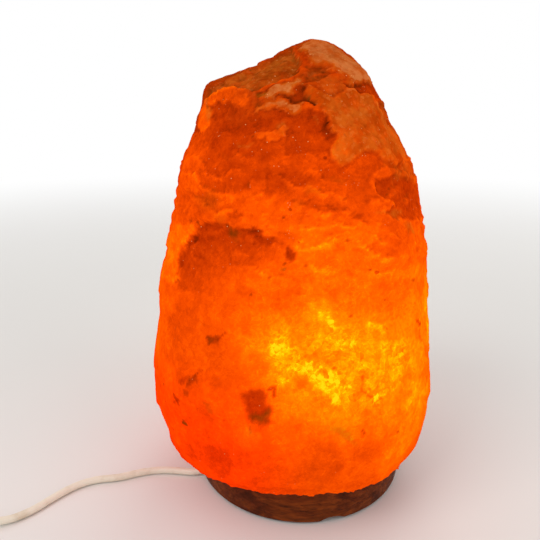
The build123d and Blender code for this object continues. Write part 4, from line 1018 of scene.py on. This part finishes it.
# a painted highlight on some crystals of the frosted faces
CRYSTAL_HIGHLIGHT = rgb(224, 136, 56)
STAIN_BROWN = rgb(134, 78, 8)
GLINT = rgb(246, 168, 104)
EMBER_HEIGHT = (0.055, 0.105)       # metres: low at the left the glow is redder,
EMBER_SIDE = (-0.035, 0.012)
EMBER_TINT = (1.28, 0.72, 1.0, 1.0)
AMBER_HEIGHT = (0.195, 0.235)       # and at the top it is yellower
AMBER_TINT = (0.95, 1.08, 1.35, 1.0)
DIM = (0.42, 0.66)                  # the levels of glow between which most textures change,
BRIGHT = (0.76, 0.92)               # those between which the salt gets more crumpled,
HOT = (0.78, 0.92)                  # and those where the light of the bulb breaks up
FLAKE_CELLS = 300.0                 # cells to a metre, like the next three
CRYSTAL_CELLS = 640.0
SPECK_CELLS = 80.0
GLINT_CELLS = 850.0


def stirred_glow(s, base, textures):
    """The glow with every texture added about its own middle, as strong as the glow asks."""
    glow = base
    for texture, levels, at_low, at_high in textures:
        strength = s.span(base, *levels, at_low, at_high)
        glow = s.plus(glow, s.times(s.minus(texture, 0.5), strength))
    return glow


def frosted(s, tone, frost, crystals):
    """The tone under the pale dust of a frosted face, with painted highlights on some of its crystals."""
    palest = s.span(frost, 0.78, 0.94)
    chalk = s.mix(s.span(s.noise(90.0, 5.0, 0.6), 0.38, 0.64), *CHALK)
    # painted highlights on some crystals
    chalk = s.mix(s.span(crystals, 0.7, 0.82, 0.0, 0.3), chalk, CRYSTAL_HIGHLIGHT)
    bloom = s.mix(s.span(s.noise(160.0, 5.0, 0.65), 0.36, 0.64), *BLOOM)
    chalk = s.mix(s.times(palest, 0.8), chalk, bloom)
    spread = s.span(s.noise(210.0, 5.0, 0.65), 0.36, 0.58, s.span(palest, 0.0, 1.0, 0.55, 0.85), 1.0)
    return s.mix(s.times(frost, spread), tone, s.mix(0.82, tone, chalk))


def marked_glow(s, glow, crushed):
    """The glow with dark specks in some large cells, painted highlights along the rims of flakes, and
    light veins.
    """
    few = s.span(s.cells(SPECK_CELLS, crushed, output="Color"), 0.62, 0.64)
    speck = s.times(s.span(s.cells(SPECK_CELLS, crushed), 0.05, 0.09, 1.0, 0.0), few)
    # painted highlights along the rims of flakes
    rim_highlights = s.span(s.cells(FLAKE_CELLS, crushed, "DISTANCE_TO_EDGE"), 0.0, 0.06, 1.0, 0.0)
    rim_highlights = s.times(rim_highlights, s.span(s.noise(130.0, 3.0), 0.48, 0.62))
    from_vein = s.calculate("ABSOLUTE", s.minus(s.noise(95.0, 4.0, 0.6, distortion=1.6), 0.5))
    vein = s.span(from_vein, 0.0, 0.022, 1.0, 0.0)
    glow = s.minus(glow, s.times(speck, 0.22))
    return s.plus(s.plus(glow, s.times(rim_highlights, 0.05)), s.times(vein, 0.05))


def warmed(s, tone):
    """The tone, redder low at the left and yellower at the top."""
    place = s.add("ShaderNodeSeparateXYZ", {0: s.place}).outputs
    ember = s.times(s.span(place["Z"], *EMBER_HEIGHT, 1.0, 0.0), s.span(place["X"], *EMBER_SIDE, 1.0, 0.0))
    tone = s.mix(ember, tone, s.tinted(tone, EMBER_TINT))
    return s.mix(s.span(place["Z"], *AMBER_HEIGHT), tone, s.tinted(tone, AMBER_TINT))


def shaded_in_hollows(s, tone, base):
    """The tone with painted shade in hollows, less of it where the glow is strong."""
    deepest = s.span(base, 0.45, 0.7, 0.80, 0.94)
    hollows = {"Value": s.attribute("lift"), "From Min": -1.0, "From Max": 0.2, "To Min": deepest}
    shade = s.add("ShaderNodeMapRange", hollows).outputs["Result"]
    return s.tinted(tone, s.add("ShaderNodeCombineColor", {0: shade, 1: shade, 2: shade}).outputs[0])


def glinting(s, tone, base):
    """The tone with glints in a few tiny cells of the dim parts, and where the photograph has them."""
    glint = s.span(s.cells(GLINT_CELLS), 0.14, 0.3, 1.0, 0.0)
    in_dim = s.span(base, 0.42, 0.6, 0.7, 0.0)
    lucky = s.span(s.cells(GLINT_CELLS, output="Color"), 0.86, 0.9, 0.0, in_dim)
    sparkle = s.calculate("MAXIMUM", s.attribute("sparkle"), lucky)
    return s.mix(s.times(sparkle, glint), tone, GLINT)


def salt_material():
    """Rough salt lit from inside: a glow that thins outwards, frosted faces, grains, inclusions."""
    s = Shader("salt", Specular_IOR_Level=0.0)
    base = s.attribute("glow")
    crumple = s.noise(150.0, 6.0, 0.62, distortion=1.1)
    grain = s.noise(620.0, 4.0, 0.65)
    dust = s.noise(1500.0, 2.0, 0.6)
    haze = s.noise(70.0, 3.0, 0.55, distortion=0.8)
    crushed = s.shifted(s.noise(420.0, 2.0, 0.5, output="Color"), 0.0022)
    flakes = s.cells(FLAKE_CELLS, crushed, output="Color")
    crystals = s.cells(CRYSTAL_CELLS, crushed, output="Color")
    glow = stirred_glow(s, base, [
        (crumple, BRIGHT, 0.16, 0.34),
        (haze, DIM, 0.24, 0.20),
        (grain, DIM, 0.14, 0.10),
        (dust, DIM, 0.10, 0.06),
        (flakes, DIM, 0.08, 0.05),
        (flakes, HOT, 0.0, 0.16),
        (crystals, DIM, 0.08, 0.05),
        (crystals, HOT, 0.0, 0.12),
    ])
    tone = s.ramp(marked_glow(s, glow, crushed), GLOW_TONES)
    tone = warmed(s, frosted(s, tone, s.attribute("frost"), crystals))
    stain = s.times(s.attribute("stain"), s.span(crumple, 0.35, 0.6, 0.7, 1.0))
    tone = s.mix(stain, tone, s.mix(0.6, tone, STAIN_BROWN))
    tone = glinting(s, shaded_in_hollows(s, tone, base), base)
    s.set(Base_Color=s.tinted(tone, (SALT_BODY, SALT_BODY, SALT_BODY, 1.0)))
    s.set(Emission_Color=tone, Emission_Strength=SALT_EMISSION)
    s.set(Roughness=s.span(s.noise(240.0, 3.0), 0.3, 0.7, 0.42, 0.72))
    crumbs = s.bump(grain, s.span(base, 0.4, 0.7, 0.45, 0.14), 0.0006)
    flaked = s.plus(flakes, s.times(crystals, 0.5))
    facets = s.bump(flaked, s.span(base, 0.4, 0.7, 0.4, 0.12), 0.0005, crumbs)
    s.set(Normal=s.bump(crumple, s.span(base, 0.4, 0.7, 0.5, 0.16), 0.0012, facets))
    return s.material


salt_rock()

# ------------------------------------------------------------------ studio

LIGHT_LEVEL = 0.62
SKY = (1.0, 0.99, 0.975, 1.0)
WHITE = (1.0, 1.0, 1.0, 1.0)
FLOOR_HALF = 6.0
FLOOR_DROP = 0.0002                 # the floor lies this far under the lamp
FLOOR_FADE = (0.35, 1.6)            # the floor turns white over this distance from the lamp
AIM = Vector((0.0, 0.0, 0.12))      # the lamp's middle
LIGHTS = [                          # name, place, size and power
    ("key", (-0.9, -0.9, 1.3), 0.9, 9.0),
    ("fill", (1.2, -0.8, 0.9), 1.1, 4.5),
    ("back", (0.3, 1.3, 1.2), 1.0, 5.0),
]


def pale_floor():
    """A plain pale floor that turns into the white background far from the lamp."""
    mesh = bpy.data.meshes.new("floor")
    corners = [(x * FLOOR_HALF, y * FLOOR_HALF, 0) for x, y in ((-1, -1), (1, -1), (1, 1), (-1, 1))]
    mesh.from_pydata(corners, [], [(0, 1, 2, 3)])
    floor = placed("floor", mesh)
    floor.location = (0, 0, -FLOOR_DROP)
    s = Shader("floor", Roughness=0.7, Specular_IOR_Level=0.2)
    s.set(Base_Color=s.mix(s.noise(3.0, 2.0), rgb(233, 231, 228), rgb(229, 227, 224)))
    distance = s.add("ShaderNodeVectorMath", {0: s.place}, operation="LENGTH").outputs["Value"]
    share = s.times(s.span(distance, *FLOOR_FADE), s.sees_background())
    s.joined(share, s.body, s.add("ShaderNodeEmission", {"Color": WHITE}), "Material Output")
    mesh.materials.append(s.material)


def soft_world():
    """An even light, and a white background that only the camera, metal and glass see."""
    world = bpy.data.worlds.new("studio")
    scene.world = world
    s = Nodes(world)
    sky = s.tree.nodes["Background"]
    s.give(sky.inputs["Color"], SKY)
    s.give(sky.inputs["Strength"], LIGHT_LEVEL)
    backdrop = s.add("ShaderNodeBackground", {"Color": WHITE})
    s.joined(s.sees_background(), sky, backdrop, "World Output")


def studio_light(name, place, size, power):
    data = bpy.data.lights.new(name, "AREA")
    data.size = size
    data.energy = power
    light = placed(name, data)
    light.location = place
    light.rotation_euler = (AIM - Vector(place)).to_track_quat("-Z", "Y").to_euler()


pale_floor()
soft_world()
for light in LIGHTS:
    studio_light(*light)
scene.view_settings.view_transform = "Standard"
